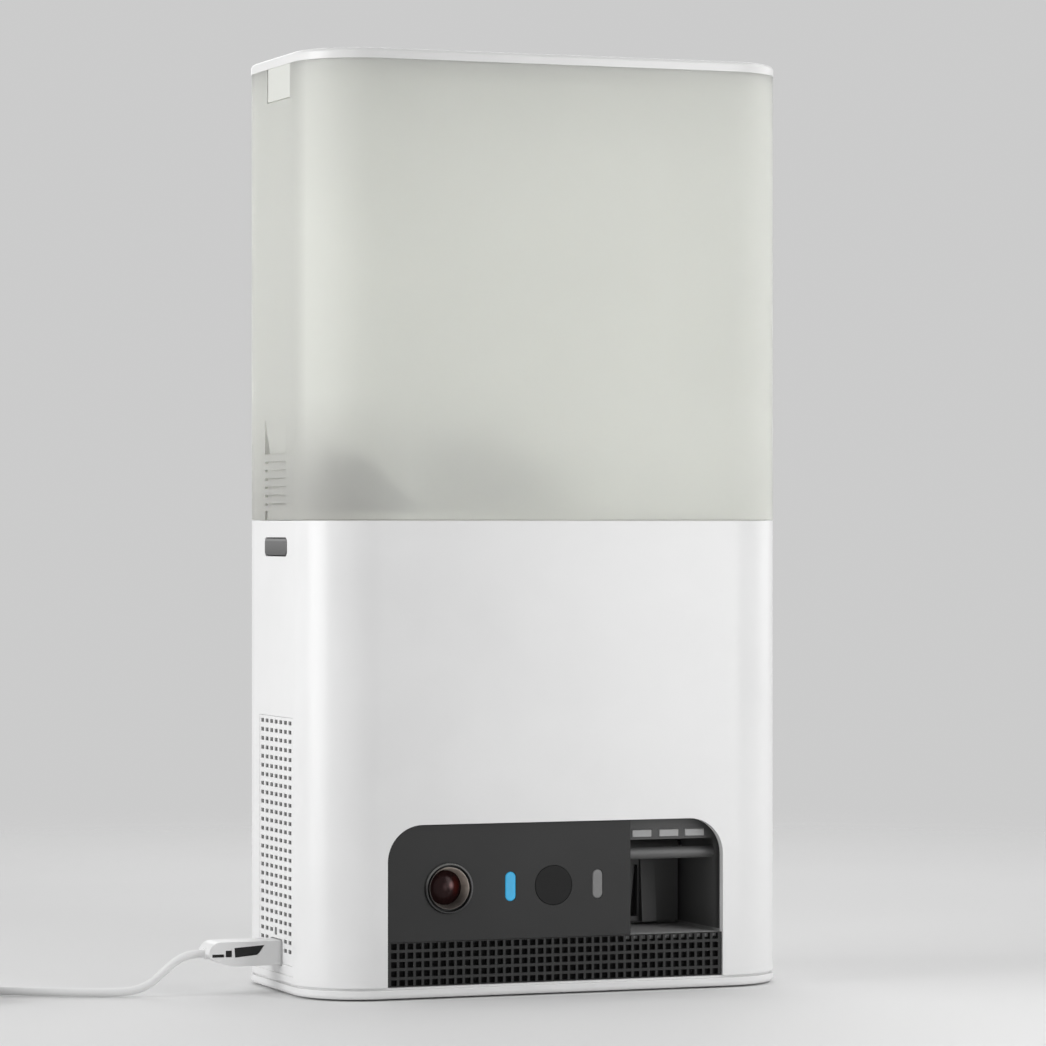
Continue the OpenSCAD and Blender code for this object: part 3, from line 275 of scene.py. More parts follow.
def near(nodes, links, centre, reach):
    """Value that falls from 1 at a place to 0 at a reach along x, y and z, in millimetres."""
    place = nodes.new("ShaderNodeTexCoord")
    offset = nodes.new("ShaderNodeVectorMath")
    offset.operation = "SUBTRACT"
    offset.inputs[1].default_value = [c * MM for c in centre]
    scaled = nodes.new("ShaderNodeVectorMath")
    scaled.operation = "MULTIPLY"
    scaled.inputs[1].default_value = [1 / (r * MM) for r in reach]
    distance = nodes.new("ShaderNodeVectorMath")
    distance.operation = "LENGTH"
    fall = nodes.new("ShaderNodeMapRange")
    fall.interpolation_type = "SMOOTHSTEP"
    fall.inputs["From Min"].default_value = 1.0
    fall.inputs["From Max"].default_value = 0.0
    links.new(place.outputs["Object"], offset.inputs[0])
    links.new(offset.outputs["Vector"], scaled.inputs[0])
    links.new(scaled.outputs["Vector"], distance.inputs[0])
    links.new(distance.outputs["Value"], fall.inputs["Value"])
    return fall.outputs["Result"]


def lens_glass(name, spots):
    """Dark red coated glass; each spot is (centre, reach, colour), a patch of painted light on the
    glass.
    """
    material, nodes, links, shader = new_material(name)
    cloud = noise_node(nodes, links, 300, 2)
    shade = tint(nodes, links, cloud, (0.014, 0.005, 0.005), (0.017, 0.006, 0.006))
    # painted light: the spots blend a painted red glow and painted reflections into the base colour
    for centre, reach, colour in spots:
        shade = blended(nodes, links, near(nodes, links, centre, reach), shade, colour)
    links.new(shade, shader.inputs["Base Color"])
    links.new(spread(nodes, links, cloud, 0.2, 0.26), shader.inputs["Roughness"])
    shader.inputs["Specular IOR Level"].default_value = 0.2
    shader.inputs["Specular Tint"].default_value = (1.0, 0.8, 0.8, 1)
    return material


def board_mask():
    """Green solder mask over a pattern of copper tracks."""
    material, nodes, links, shader = new_material("circuit_board")
    place = nodes.new("ShaderNodeTexCoord")
    tracks = nodes.new("ShaderNodeTexBrick")
    tracks.inputs["Scale"].default_value = 120
    tracks.inputs["Mortar Size"].default_value = 0.06
    tracks.inputs["Color1"].default_value = (0.012, 0.10, 0.045, 1)
    tracks.inputs["Color2"].default_value = (0.016, 0.12, 0.055, 1)
    tracks.inputs["Mortar"].default_value = (0.03, 0.19, 0.09, 1)
    links.new(place.outputs["Object"], tracks.inputs["Vector"])
    links.new(tracks.outputs["Color"], shader.inputs["Base Color"])
    links.new(spread(nodes, links, tracks.outputs["Fac"], 0.3, 0.4), shader.inputs["Roughness"])
    bumped(nodes, links, shader, tracks.outputs["Fac"], 0.3, 0.00005)
    return material


def weave(name, colour):
    """Acoustic cloth: threads that cross."""
    material, nodes, links, shader = new_material(name)
    place = nodes.new("ShaderNodeTexCoord")
    threads = nodes.new("ShaderNodeTexChecker")
    threads.inputs["Scale"].default_value = 1600
    threads.inputs["Color1"].default_value = (*colour, 1)
    threads.inputs["Color2"].default_value = (*(c * 0.6 for c in colour), 1)
    links.new(place.outputs["Object"], threads.inputs["Vector"])
    links.new(threads.outputs["Color"], shader.inputs["Base Color"])
    links.new(spread(nodes, links, threads.outputs["Fac"], 0.85, 0.95), shader.inputs["Roughness"])
    bumped(nodes, links, shader, threads.outputs["Fac"], 0.5, 0.0001)
    return material


# Painted shades: the lens trim is darker at its foot and left, the ring around it is paler above
# and to the right, the release buttons are darker below and pale along the top, and the glass
# shows a red glow and two paler reflections. Z and X in millimetres.
TRIM_SHADES = [
    ([("Z", EYE_Z + 1, EYE_Z - 4)], (0.12, 0.105, 0.095)),
    ([("X", LENS_X - 1, LENS_X - 4.5)], (0.10, 0.09, 0.085)),
]
RING_SHADES = [
    ([("Z", EYE_Z, EYE_Z + 5)], (0.11, 0.11, 0.105)),
    ([("X", LENS_X + 2, LENS_X + 6), ("Z", EYE_Z - 6, EYE_Z)], (0.08, 0.078, 0.08)),
]
BUTTON_SHADES = [
    ([("Z", 129.4, 126.5)], (0.075, 0.075, 0.075)),
    ([("Z", 129.9, 130.3)], (0.21, 0.21, 0.21)),
]
DOME_PAINTED_LIGHT = [
    ((LENS_X + 3.1, -34.6, EYE_Z + 0.8), (2.2, 3, 4.2), (0.055, 0.005, 0.003)),
    ((LENS_X + 1.5, -35.2, EYE_Z + 0.7), (1.1, 3, 1.6), (0.24, 0.13, 0.13)),
    ((LENS_X - 0.4, -35.2, EYE_Z + 0.3), (1.1, 3, 1.5), (0.06, 0.035, 0.035)),
]

WHITE = (0.82, 0.82, 0.82)
DARK = (0.0192, 0.0192, 0.0192)
MATERIALS = {
    "white_plastic": moulded("white_plastic", WHITE, 0.34, coat=0.1),
    "ivory_plastic": moulded("ivory_plastic", (0.72, 0.72, 0.69), 0.5),
    "frosted_plastic": frosted_plastic(),
    "dark_plastic": moulded("dark_plastic", DARK, 0.5, relief=0.2, change=0.08, gloss=0.35),
    "black_plastic": moulded("black_plastic", (0.010, 0.010, 0.010), 0.36, change=0.1, gloss=0.3),
    "grey_plastic": moulded("grey_plastic", (0.12, 0.12, 0.12), 0.45, relief=0.2),
    "light_grey_plastic": moulded("light_grey_plastic", (0.40, 0.40, 0.40), 0.45),
    "status_blue": glowing("status_blue", (0.03, 0.34, 0.60), 0.35),
    "status_grey": glowing("status_grey", (0.18, 0.18, 0.18), 0.0),
    "steel": metal("steel", (0.58, 0.58, 0.60), 0.3, (1, 1, 0.1)),
    "brown_metal": metal("brown_metal", (0.56, 0.49, 0.43), 0.5, (1, 0.1, 1), 0.35, TRIM_SHADES),
    "lens_glass": lens_glass("lens_glass", DOME_PAINTED_LIGHT),
    "circuit_board": board_mask(),
    "rubber": rubber("rubber", (0.06, 0.06, 0.06)),
    "speaker_paper": rubber("speaker_paper", (0.03, 0.03, 0.03)),
    "cloth": weave("cloth", (0.012, 0.012, 0.012)),
    "cord_sheath": moulded("cord_sheath", WHITE, 0.4, grain=1800),
}

LID_WHITE = (0.77, 0.77, 0.765)
BUTTON_GREY = (0.12, 0.12, 0.12)

# Finishes of single pieces: a painted shade inside the vent's holes, greyer tabs under the lid's
# rim, and painted light that makes the inside and floor of the launch opening paler
FINISHES_AND_PAINTED_LIGHT = {
    # painted shade: the walls of the vent's holes are darker
    "side_vent_grille": moulded(
        "vent_plastic", WHITE, 0.34, overlays=[([("X", -73.75, -73.2)], (0.38, 0.38, 0.38))],
    ),
    "lid": moulded(
        "lid_plastic", LID_WHITE, 0.34, coat=0.1,
        overlays=[([("Z", 267.05, 266.95), ("|X|", 72.8, 73.2)], (0.66, 0.67, 0.63))],
    ),
    "lid_seal": rubber("seal_rubber", (0.7, 0.7, 0.68)),
    "launch_chute": moulded(
        "chute_plastic", (0.045, 0.045, 0.045), 0.5, relief=0.2, change=0.08, gloss=0.35, overlays=[
            # painted light: the inside of the opening and its floor are paler
            ([("Y", -34, -31)], (0.15, 0.15, 0.15)),
            ([("Z", 16.95, 16.85)], (0.36, 0.36, 0.36)),
        ],
    ),
    "feeder_wheel": moulded("wheel_plastic", (0.5, 0.5, 0.49), 0.45, relief=0.2),
    "sensor_window": moulded("sensor_plastic", (0.006, 0.006, 0.006), 0.42, gloss=0.2),
    "kicker": moulded("kicker_plastic", (0.09, 0.09, 0.09), 0.5, relief=0.2, gloss=0.35),
    "lens_ring": moulded(
        "ring_plastic", (0.012, 0.012, 0.012), 0.34, relief=0.05, overlays=RING_SHADES,
    ),
    "release_button_left": moulded(
        "button_plastic", BUTTON_GREY, 0.45, relief=0.2, overlays=BUTTON_SHADES,
    ),
    "release_button_right": moulded(
        "button_plastic", BUTTON_GREY, 0.45, relief=0.2, overlays=BUTTON_SHADES,
    ),
    "vent_cloth": weave("vent_cloth", (0.32, 0.32, 0.32)),
}


# ---- Piece helpers ----

def add_piece(name, mesh, slot, body, finish=None):
    """Link a mesh as a piece that rides on a body, with its slot's material or a finish."""
    piece = bpy.data.objects.new(name, mesh)
    SCENE.collection.objects.link(piece)
    mesh.materials.clear()
    mesh.materials.append(finish or MATERIALS[slot])
    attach(piece, body)
    return piece


def smooth_by_angle(mesh, degrees):
    mesh.shade_smooth()
    mesh.set_sharp_from_angle(angle=math.radians(degrees))


# Nodes that keep the CAD's triangles
KEEP_TRIANGLES = {"feeder_wheel", "kicker", "lid", "usb_a_shell", "usb_plug_grip"}
WELD = 1e-7
FLAT = 0.5
SHARP = 32

# Places that decide which edges are rounded, in millimetres
WALL_SLACK = 0.05
VENT_MID_Y = -2
VENT_HALF_Y = 17
VENT_Z = (6, 82)
BUTTON_HALF_Y = 12
BUTTON_FOOT_Z = 120
GRIP_MID_Y = -1.5
GRIP_HALF_Y = 20
GRIP_DEEP = 3
CHUTE_FRONT_Y = -33
BUTTON_PROUD = 0.2
WHEEL_HUB_R = 14


def on_outside(p):
    """Whether a point in millimetres lies on the housing's outer wall."""
    over_x, over_y = abs(p.x) - HALF_W + CORNER_R, abs(p.y) - HALF_D + CORNER_R
    inside = min(max(over_x, over_y), 0)
    return math.hypot(max(over_x, 0), max(over_y, 0)) + inside > CORNER_R - WALL_SLACK


def shell_edge(p):
    """The body shell's outer edges, apart from those by the vent and the release buttons."""
    in_vent_y = abs(p.y - VENT_MID_Y) < VENT_HALF_Y
    by_vent = p.x < 0 and in_vent_y and VENT_Z[0] < p.z < VENT_Z[1]
    by_button = abs(p.x) > HALF_W - 1 and abs(p.y) < BUTTON_HALF_Y and p.z > BUTTON_FOOT_Z
    return on_outside(p) and not by_vent and not by_button


def hopper_edge(p):
    """The hopper's lower outer edges, apart from those by the thumb grips."""
    by_grip = abs(p.x) > HALF_W - GRIP_DEEP and abs(p.y - GRIP_MID_Y) < GRIP_HALF_Y
    return on_outside(p) and p.z < SEAM_Z + 1 and not by_grip


def chute_edge(p):
    return p.y < CHUTE_FRONT_Y


def button_edge(p):
    return abs(p.x) > HALF_W + BUTTON_PROUD


def wheel_edge(p):
    return math.hypot(p.x - WHEEL_AT[0], p.y - WHEEL_AT[1]) > WHEEL_HUB_R


# Where only some edges of a node are broken
ROUNDED = {
    "feeder_wheel": wheel_edge,
    "body_shell": shell_edge,
    "hopper": hopper_edge,
    "launch_chute": chute_edge,
    "release_button_left": button_edge,
    "release_button_right": button_edge,
}


def clean_copy(node):
    """Copy a CAD node's mesh, with the triangles of its flat faces joined in most nodes."""
    mesh = frame["nodes"][node].data.copy()
    mesh.name = node + "_dressed"
    shape = bmesh.new()
    shape.from_mesh(mesh)
    bmesh.ops.remove_doubles(shape, verts=shape.verts, dist=WELD)
    if node not in KEEP_TRIANGLES:
        bmesh.ops.dissolve_limit(
            shape, angle_limit=math.radians(FLAT), verts=shape.verts, edges=shape.edges,
        )
    shape.to_mesh(mesh)
    shape.free()
    for extra in [a.name for a in mesh.attributes if a.name == "custom_normal"]:
        mesh.attributes.remove(mesh.attributes[extra])
    return mesh


def weigh_edges(mesh, wanted):
    """Mark the sharp edges whose ends are both wanted, for a bevel by weight."""
    shape = bmesh.new()
    shape.from_mesh(mesh)
    weight = shape.edges.layers.float.new("bevel_weight_edge")
    for edge in shape.edges:
        sharp = edge.calc_face_angle(0) > math.radians(SHARP)
        edge[weight] = float(sharp and all(wanted(v.co / MM) for v in edge.verts))
    shape.to_mesh(mesh)
    shape.free()


def break_edges(piece, width, segments=2, wanted=None):
    """Round a piece's sharp edges, and keep its large faces flat."""
    edges = piece.modifiers.new("broken_edges", "BEVEL")
    edges.width = width * MM
    edges.segments = segments
    if wanted:
        weigh_edges(piece.data, wanted)
    edges.limit_method = "WEIGHT" if wanted else "ANGLE"
    edges.angle_limit = math.radians(SHARP)
    edges.use_clamp_overlap = True
    edges.miter_outer = "MITER_ARC"
    faces = piece.modifiers.new("flat_faces", "WEIGHTED_NORMAL")
    faces.keep_sharp = True
    faces.weight = 100


def dress(node, slot, bevel, segments=2, mesh=None):
    """Stand a copy of a CAD node with broken edges in its place."""
    mesh = mesh or clean_copy(node)
    smooth_by_angle(mesh, SHARP)
    body = frame["nodes"][node]["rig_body"]
    piece = add_piece(node + "_dressed", mesh, slot, body, FINISHES_AND_PAINTED_LIGHT.get(node))
    break_edges(piece, bevel, segments, ROUNDED.get(node))
    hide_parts(node)
    return piece


def paint(node, slot):
    """Keep a CAD node's shape and give it its slot's material or a finish."""
    node_object = frame["nodes"][node]
    node_object.data.materials.clear()
    node_object.data.materials.append(FINISHES_AND_PAINTED_LIGHT.get(node, MATERIALS[slot]))
    smooth_by_angle(node_object.data, SHARP)


def box_shape(shape, low, high):
    """Add a box between two corners, in millimetres, to a bmesh."""
    made = bmesh.ops.create_cube(shape, size=1)
    for vert in made["verts"]:
        vert.co = Vector((
            (high[i] if vert.co[i] > 0 else low[i]) * MM for i in range(3)
        ))


def carved(mesh, boxes):
    """Cut boxes out of a mesh, and give the result as a new mesh."""
    waste = bmesh.new()
    for low, high in boxes:
        box_shape(waste, low, high)
    waste_mesh = bpy.data.meshes.new("waste")
    waste.to_mesh(waste_mesh)
    waste.free()
    solid = bpy.data.objects.new("solid", mesh)
    tool = bpy.data.objects.new("tool", waste_mesh)
    for item in (solid, tool):
        SCENE.collection.objects.link(item)
    cut = solid.modifiers.new("cut", "BOOLEAN")
    cut.operation = "DIFFERENCE"
    cut.solver = "EXACT"
    cut.use_self = True
    cut.object = tool
    cut_solid = solid.evaluated_get(bpy.context.evaluated_depsgraph_get())
    result = bpy.data.meshes.new_from_object(cut_solid)
    for item in (solid, tool):
        bpy.data.objects.remove(item)
    return result


def lathe(name, profile, centre, steps=72):
    """Turn a closed profile of (radius, y) about the line along y through centre (x, z)."""
    shape = bmesh.new()
    rings = []
    for radius, y in profile:
        if radius == 0:
            rings.append([shape.verts.new((centre[0] * MM, y * MM, centre[1] * MM))])
            continue
        rings.append([
            shape.verts.new((
                (centre[0] + radius * math.cos(math.tau * i / steps)) * MM,
                y * MM,
                (centre[1] + radius * math.sin(math.tau * i / steps)) * MM,
            ))
            for i in range(steps)
        ])
    for a, b in zip(rings, rings[1:] + rings[:1]):
        if len(a) == len(b) == 1:
            continue
        for i in range(steps):
            j = (i + 1) % steps
            corners = [a[i % len(a)], a[j % len(a)], b[j % len(b)], b[i % len(b)]]
            shape.faces.new(list(dict.fromkeys(corners)))
    bmesh.ops.recalc_face_normals(shape, faces=shape.faces)
    mesh = bpy.data.meshes.new(name)
    shape.to_mesh(mesh)
    shape.free()
    return mesh


# ---- Power lead: the same route and coil as the CAD source ----

CORD_ROUTE = [
    (-95.8, -2.4, 11.6), (-98.2, -2.4, 11.6), (-100.6, -2.4, 11.25), (-103, -2.4, 10.35),
    (-105.3, -2.4, 8.9), (-107.5, -2.4, 7.1), (-109.7, -2.35, 5.2), (-112, -2.15, 3.5),
    (-114.6, -1.75, 2.25), (-117.8, -1.1, 1.5), (-121.5, -0.1, 1.25), (-126, 1.4, 1.25),
    (-131, 3.55, 1.25), (-136, 6.2, 1.25), (-141, 9.3, 1.25), (-146, 12.7, 1.25),
    (-151, 16.3, 1.25), (-156, 20, 1.25), (-161, 23.6, 1.25), (-166, 27, 1.25),
    (-170.5, 29.6, 1.25), (-175, 31.2, 1.25), (-177.5, 31.5, 1.25), (-180, 31.5, 1.25),
]
TAIL_ROUTE = [
    (-184.8, 31.5, 9.95), (-188, 31.5, 9.9), (-193, 31.1, 9.7), (-198, 29.9, 9.2),
    (-202.6, 27.6, 8.4), (-206.6, 24.3, 7.4), (-209.8, 20.2, 6.4), (-212, 15.6, 5.4),
    (-213.3, 10.6, 4.6), (-213.9, 6, 4.1), (-214, 3, 4), (-214, 0.5, 4),
]
COIL_TURNS = 4.625
COIL_LAYERS = 4
COIL_R = 14.4
COIL_PITCH = CORD_D + 0.5
COIL_OUT = COIL_R + COIL_PITCH * COIL_TURNS / 2
COIL_IN = COIL_R - COIL_PITCH * COIL_TURNS / 2
COIL_START = Vector(CORD_ROUTE[-1])
COIL_AT = (COIL_START.x - CORD_D, COIL_START.y - COIL_OUT)
COIL_RINGS = 48


def coil_point(turn):
    """Place on the coil after some turns: it spirals in and out, and climbs at each reversal."""
    span = COIL_TURNS + 0.5
    layer = min(int(turn // span), COIL_LAYERS - 1)
    wound = turn - layer * span
    inward = layer % 2 == 0
    climb = max(0.0, wound - COIL_TURNS)
    swell = COIL_PITCH / 4 * math.sin(math.tau * climb)
    if climb > 0:
        radius = COIL_IN - swell if inward else COIL_OUT + swell
    else:
        radius = COIL_OUT - COIL_PITCH * wound if inward else COIL_IN + COIL_PITCH * wound
    rise = (1 - math.cos(math.tau * climb)) / 2
    angle = math.pi / 2 + math.tau * turn
    return Vector((
        COIL_AT[0] + radius * math.cos(angle),
        COIL_AT[1] + radius * math.sin(angle),
        COIL_START.z + COIL_PITCH * (layer + rise),
    ))


def eased(points, parts=4):
    """Smooth curve through the points."""
    points = [Vector(p) for p in points]
    padded = [2 * points[0] - points[1], *points, 2 * points[-1] - points[-2]]
    out = []
    for a, b, c, d in zip(padded, padded[1:], padded[2:], padded[3:]):
        for k in range(parts):
            t = k / parts
            out.append(0.5 * (
                2 * b + (c - a) * t + (2 * a - 5 * b + 4 * c - d) * t ** 2
                + (3 * b - a - 3 * c + d) * t ** 3
            ))
    return out + [points[-1]]


def lead_line():
    turns = COIL_LAYERS * COIL_TURNS + (COIL_LAYERS - 1) / 2
    steps = round(turns * COIL_RINGS)
    coil = [coil_point(i / COIL_RINGS) for i in range(steps + 1)]
    return [p * MM for p in eased(CORD_ROUTE)[:-1] + [COIL_START] + coil + eased(TAIL_ROUTE)]


def make_lead():
    line = lead_line()
    data = bpy.data.curves.new("power_lead", "CURVE")
    data.dimensions = "3D"
    data.bevel_depth = CORD_D / 2 * MM
    data.bevel_resolution = 3
    data.use_fill_caps = True
    spline = data.splines.new("POLY")
    spline.points.add(len(line) - 1)
    for point, place in zip(spline.points, line):
        point.co = (*place, 1)
    spline.use_smooth = True
    lead = bpy.data.objects.new("power_lead", data)
    SCENE.collection.objects.link(lead)
    data.materials.append(MATERIALS["cord_sheath"])
    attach(lead, "housing")
    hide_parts("power_cord", "cord_coil", "cord_tail")
    length = sum((b - a).length for a, b in zip(line, line[1:]))
    return lead, line[0], length


lead, lead_exit, lead_length = make_lead()


# ---- Far plug and the plug in the housing ----

far_plug = [
    dress("usb_a_grip", "white_plastic", 0.2),
    dress("usb_a_shell", "steel", 0.12),
    dress("usb_a_tongue", "black_plastic", 0.15),
]
dress("usb_plug_grip", "white_plastic", 0.6, 3)
dress("usb_plug_core", "black_plastic", 0.15)
dress("usb_plug_tip", "steel", 0.1)


# ---- Housing, base and front ----

# Each node's slot and the width of its broken edges in millimetres
DRESSED = {
    "base_plate": ("white_plastic", 0.2),
    "rubber_feet": ("rubber", 0.2),
    "chassis_posts": ("ivory_plastic", 0.3),
    "body_shell": ("white_plastic", 0.35),
    "front_panel": ("dark_plastic", 0.15),
    "top_deck": ("ivory_plastic", 0.3),
    "launch_chute": ("dark_plastic", 0.25),
    "chute_inserts": ("light_grey_plastic", 0.2),
    "chute_guard_bar": ("grey_plastic", 0.3),
    "lens_ring": ("black_plastic", 0.15),
    "camera_board": ("circuit_board", 0.2),
    "status_light_blue": ("status_blue", 0.3),
    "status_light_grey": ("status_grey", 0.3),
    "sensor_window": ("black_plastic", 0.15),
    "led_board": ("circuit_board", 0.2),
    "speaker_frame": ("black_plastic", 0.3),
    "speaker_cone": ("speaker_paper", 0.3),
    "main_board": ("circuit_board", 0.2),
    "board_clips": ("ivory_plastic", 0.3),
    "port_board": ("circuit_board", 0.2),
    "usb_port": ("steel", 0.1),
    "reset_button": ("black_plastic", 0.15),
    "feeder_motor": ("steel", 0.5),
    "kicker_motor": ("steel", 0.5),
    "motor_cradle": ("ivory_plastic", 0.4),
    "release_button_left": ("grey_plastic", 0.6),
    "release_button_right": ("grey_plastic", 0.6),
    "kicker": ("dark_plastic", 0.3),
    "kicker_shaft": ("steel", 0.2),
    "hopper": ("frosted_plastic", 0.25),
    "hopper_floor": ("ivory_plastic", 0.3),
    "drop_hood": ("frosted_plastic", 0.3),
    "feeder_wheel": ("grey_plastic", 0.25),
    "drive_dog": ("ivory_plastic", 0.3),
    "lid": ("white_plastic", 0.2),
    "lid_seal": ("rubber", 0.2),
}
for node, (slot, bevel) in DRESSED.items():
    dress(node, slot, bevel)

PAINTED = {
    "side_vent_grille": "white_plastic",
    "speaker_grille": "dark_plastic",
    "grille_cloth": "cloth",
    "drop_tube": "ivory_plastic",
    "kicker_gear": "ivory_plastic",
    "kicker_pinion": "steel",
}
for node, slot in PAINTED.items():
    paint(node, slot)


# ---- Lens: a deep trim ring around a recessed dome of dark glass ----

LENS_AT = (LENS_X, EYE_Z)
BARREL_R = 6.65
BARREL_FRONT = -36.5
BARREL_BACK = -24.5
TRIM_FRONT = -37.65
TRIM_BACK = -33.3
TRIM_OUT = 6.0
TRIM_LIP = 5.85
TRIM_SEAT = 5.7
DOME_R = 4.95
DOME_RIM = -33.65
DOME_BACK = -33.32
DOME_FRONT = -35.3
LENS_GAP = 0.02
LENS_EDGE = 0.06
CAP_STEPS = 12


def cap_profile(radius, rim, front, back):
    """Profile of a glass with a round front and a flat back."""
    bulge = rim - front
    ball = (radius ** 2 + bulge ** 2) / (2 * bulge)
    radii = [radius * k / CAP_STEPS for k in range(CAP_STEPS + 1)]
    cap = [(r, front + ball - math.sqrt(ball ** 2 - r ** 2)) for r in radii]
    return cap + [(radius, back), (0, back)]


barrel_mesh = lathe("lens_barrel_dressed", [
    (0, BARREL_BACK), (BARREL_R, BARREL_BACK), (BARREL_R, BARREL_FRONT),
    (TRIM_SEAT + LENS_GAP, BARREL_FRONT), (TRIM_SEAT + LENS_GAP, TRIM_BACK + LENS_GAP),
    (0, TRIM_BACK + LENS_GAP),
], LENS_AT)
dress("lens_barrel", "black_plastic", LENS_EDGE, mesh=barrel_mesh)
trim_mesh = lathe("lens_trim_dressed", [
    (TRIM_OUT, BARREL_FRONT), (TRIM_OUT, TRIM_FRONT), (TRIM_LIP, TRIM_FRONT),
    (DOME_R + LENS_GAP, DOME_RIM), (DOME_R + LENS_GAP, TRIM_BACK), (TRIM_SEAT, TRIM_BACK),
    (TRIM_SEAT, BARREL_FRONT),
], LENS_AT)
dress("lens_trim", "brown_metal", LENS_EDGE, mesh=trim_mesh)
dome_profile = cap_profile(DOME_R, DOME_RIM, DOME_FRONT, DOME_BACK)
dome_mesh = lathe("lens_dome_dressed", dome_profile, LENS_AT)
smooth_by_angle(dome_mesh, SHARP)
dome = add_piece("lens_dome_dressed", dome_mesh, "lens_glass", "housing")
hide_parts("lens_dome")


# ---- Cross recesses in the screws ----

SCREW_AT = [(sx * 60.0, sy * 26.0) for sx in (-1, 1) for sy in (-1, 1)]
CROSS = (1.5, 0.35)
CROSS_DEEP = 0.9
CROSS_OVER = 0.5
BASE_SCREW_FACE = 0.4
DECK_SCREW_FACE = 124.8


def cross_screws(node, face, inward):
    """Cut a cross into each screw's head; face is the head's height, inward +1 or -1."""
    mesh = clean_copy(node)
    low, high = sorted((face - inward * CROSS_OVER, face + inward * CROSS_DEEP))
    for half_x, half_y in (CROSS, CROSS[::-1]):
        mesh = carved(mesh, [
            ((x - half_x, y - half_y, low), (x + half_x, y + half_y, high)) for x, y in SCREW_AT
        ])
    dress(node, "steel", 0.12, mesh=mesh)


cross_screws("base_screws", BASE_SCREW_FACE, 1)
cross_screws("deck_screws", DECK_SCREW_FACE, -1)


# ---- Deflector in the hopper: a rounded hump around the left end of the feeder wheel ----

HUMP_FOOT = 138.45
HUMP_H = 17.5
HUMP_IN = 33.5
HUMP_HALF_W = 70.0
HUMP_HALF_D = 34.0
HUMP_CORNER_R = 16.0
HUMP_SPAN = (118.0, 236.0)
HUMP_STEPS = 56
HUMP_ROWS = 16
HUMP_TAPER = 0.22
HUMP_PLATE = 1
HUMP_LEAN = 1.5
HUMP_FULLNESS = 0.8
HUMP_SHARP = 50
REACH_LIMIT = 90.0
REACH_HALVINGS = 30


def hump_reach(angle):
    """Distance from the wheel's axis to the hump's outer edge along an angle."""
    inner, outer = HUMP_IN, REACH_LIMIT
    for _ in range(REACH_HALVINGS):
        middle = (inner + outer) / 2
        x = WHEEL_AT[0] + middle * math.cos(angle)
        y = WHEEL_AT[1] + middle * math.sin(angle)
        over_x = abs(x) - HUMP_HALF_W + HUMP_CORNER_R
        over_y = abs(y) - HUMP_HALF_D + HUMP_CORNER_R
        inside = min(max(over_x, over_y), 0)
        if math.hypot(max(over_x, 0), max(over_y, 0)) + inside > HUMP_CORNER_R:
            outer = middle
        else:
            inner = middle
    return inner


def smoothstep(t):
    t = min(max(t, 0.0), 1.0)
    return t * t * (3 - 2 * t)


def hump_mesh():
    shape = bmesh.new()
    tops, feet = [], []
    for i in range(HUMP_STEPS + 1):
        along_hump = i / HUMP_STEPS
        angle = math.radians(HUMP_SPAN[0] + (HUMP_SPAN[1] - HUMP_SPAN[0]) * along_hump)
        reach = hump_reach(angle)
        taper = smoothstep(along_hump / HUMP_TAPER) * smoothstep((1 - along_hump) / HUMP_TAPER)
        top_row, foot_row = [], []
        for k in range(HUMP_ROWS + 1):
            share = k / HUMP_ROWS
            radius = HUMP_IN + (reach - HUMP_IN) * share
            x = (WHEEL_AT[0] + radius * math.cos(angle)) * MM
            y = (WHEEL_AT[1] + radius * math.sin(angle)) * MM
            swell = max(math.sin(math.pi * share ** HUMP_LEAN), 0) ** HUMP_FULLNESS
            rise = HUMP_PLATE + HUMP_H * taper * swell
            top_row.append(shape.verts.new((x, y, (HUMP_FOOT + rise) * MM)))
            foot_row.append(shape.verts.new((x, y, HUMP_FOOT * MM)))
        tops.append(top_row)
        feet.append(foot_row)
    for rows in (tops, feet):
        for a, b in zip(rows, rows[1:]):
            for k in range(HUMP_ROWS):
                shape.faces.new((a[k], a[k + 1], b[k + 1], b[k]))
    for k in range(HUMP_ROWS):
        for end in (0, -1):
            shape.faces.new((tops[end][k], tops[end][k + 1], feet[end][k + 1], feet[end][k]))
    for side in (0, -1):
        for i in range(HUMP_STEPS):
            shape.faces.new((tops[i][side], tops[i + 1][side], feet[i + 1][side], feet[i][side]))
    bmesh.ops.recalc_face_normals(shape, faces=shape.faces)
    mesh = bpy.data.meshes.new("hopper_deflector")
    shape.to_mesh(mesh)
    shape.free()
    smooth_by_angle(mesh, HUMP_SHARP)
    return mesh


add_piece("hopper_deflector", hump_mesh(), "dark_plastic", "hopper_unit")


# ---- Dust cloth behind the side vent ----

LINING_LOW = (-71.6, -16.6, 26.4)
LINING_HIGH = (-71.3, 12.5, 78.6)

lining = bmesh.new()
box_shape(lining, LINING_LOW, LINING_HIGH)
lining_mesh = bpy.data.meshes.new("vent_cloth")
lining.to_mesh(lining_mesh)
lining.free()
add_piece("vent_cloth", lining_mesh, "cloth", "housing", FINISHES_AND_PAINTED_LIGHT["vent_cloth"])


# ---- Studio ----

BACKDROP = 0.60
WORLD_LEVEL = 0.32
FLOOR_SIZE = 6.0
FLOOR_Z = -0.0002
FLOOR_SHADES = ((0.75, 0.75, 0.75), (0.77, 0.77, 0.77))
FADE = (0.4, 0.85)

# Each lamp's place, aim and size in metres, and its power in watts
LAMPS = {
    "left": ((-0.9, 0.0, 0.2), (0, 0, 0.11), (0.5, 1.0), 7.4),
    "right_front": ((0.2, -0.36, 0.2), (0.06, 0, 0.13), (0.16, 0.6), 1.0),
    "right": ((0.9, 0.1, 0.5), (0, 0, 0.13), (0.6, 1.0), 2.6),
    "back": ((0.3, 1.1, 0.7), (0, 0, 0.13), (0.8, 0.8), 3.6),
    "top": ((0, 0.1, 1.4), (0, 0, 0.1), (1.2, 1.2), 1.8),
}


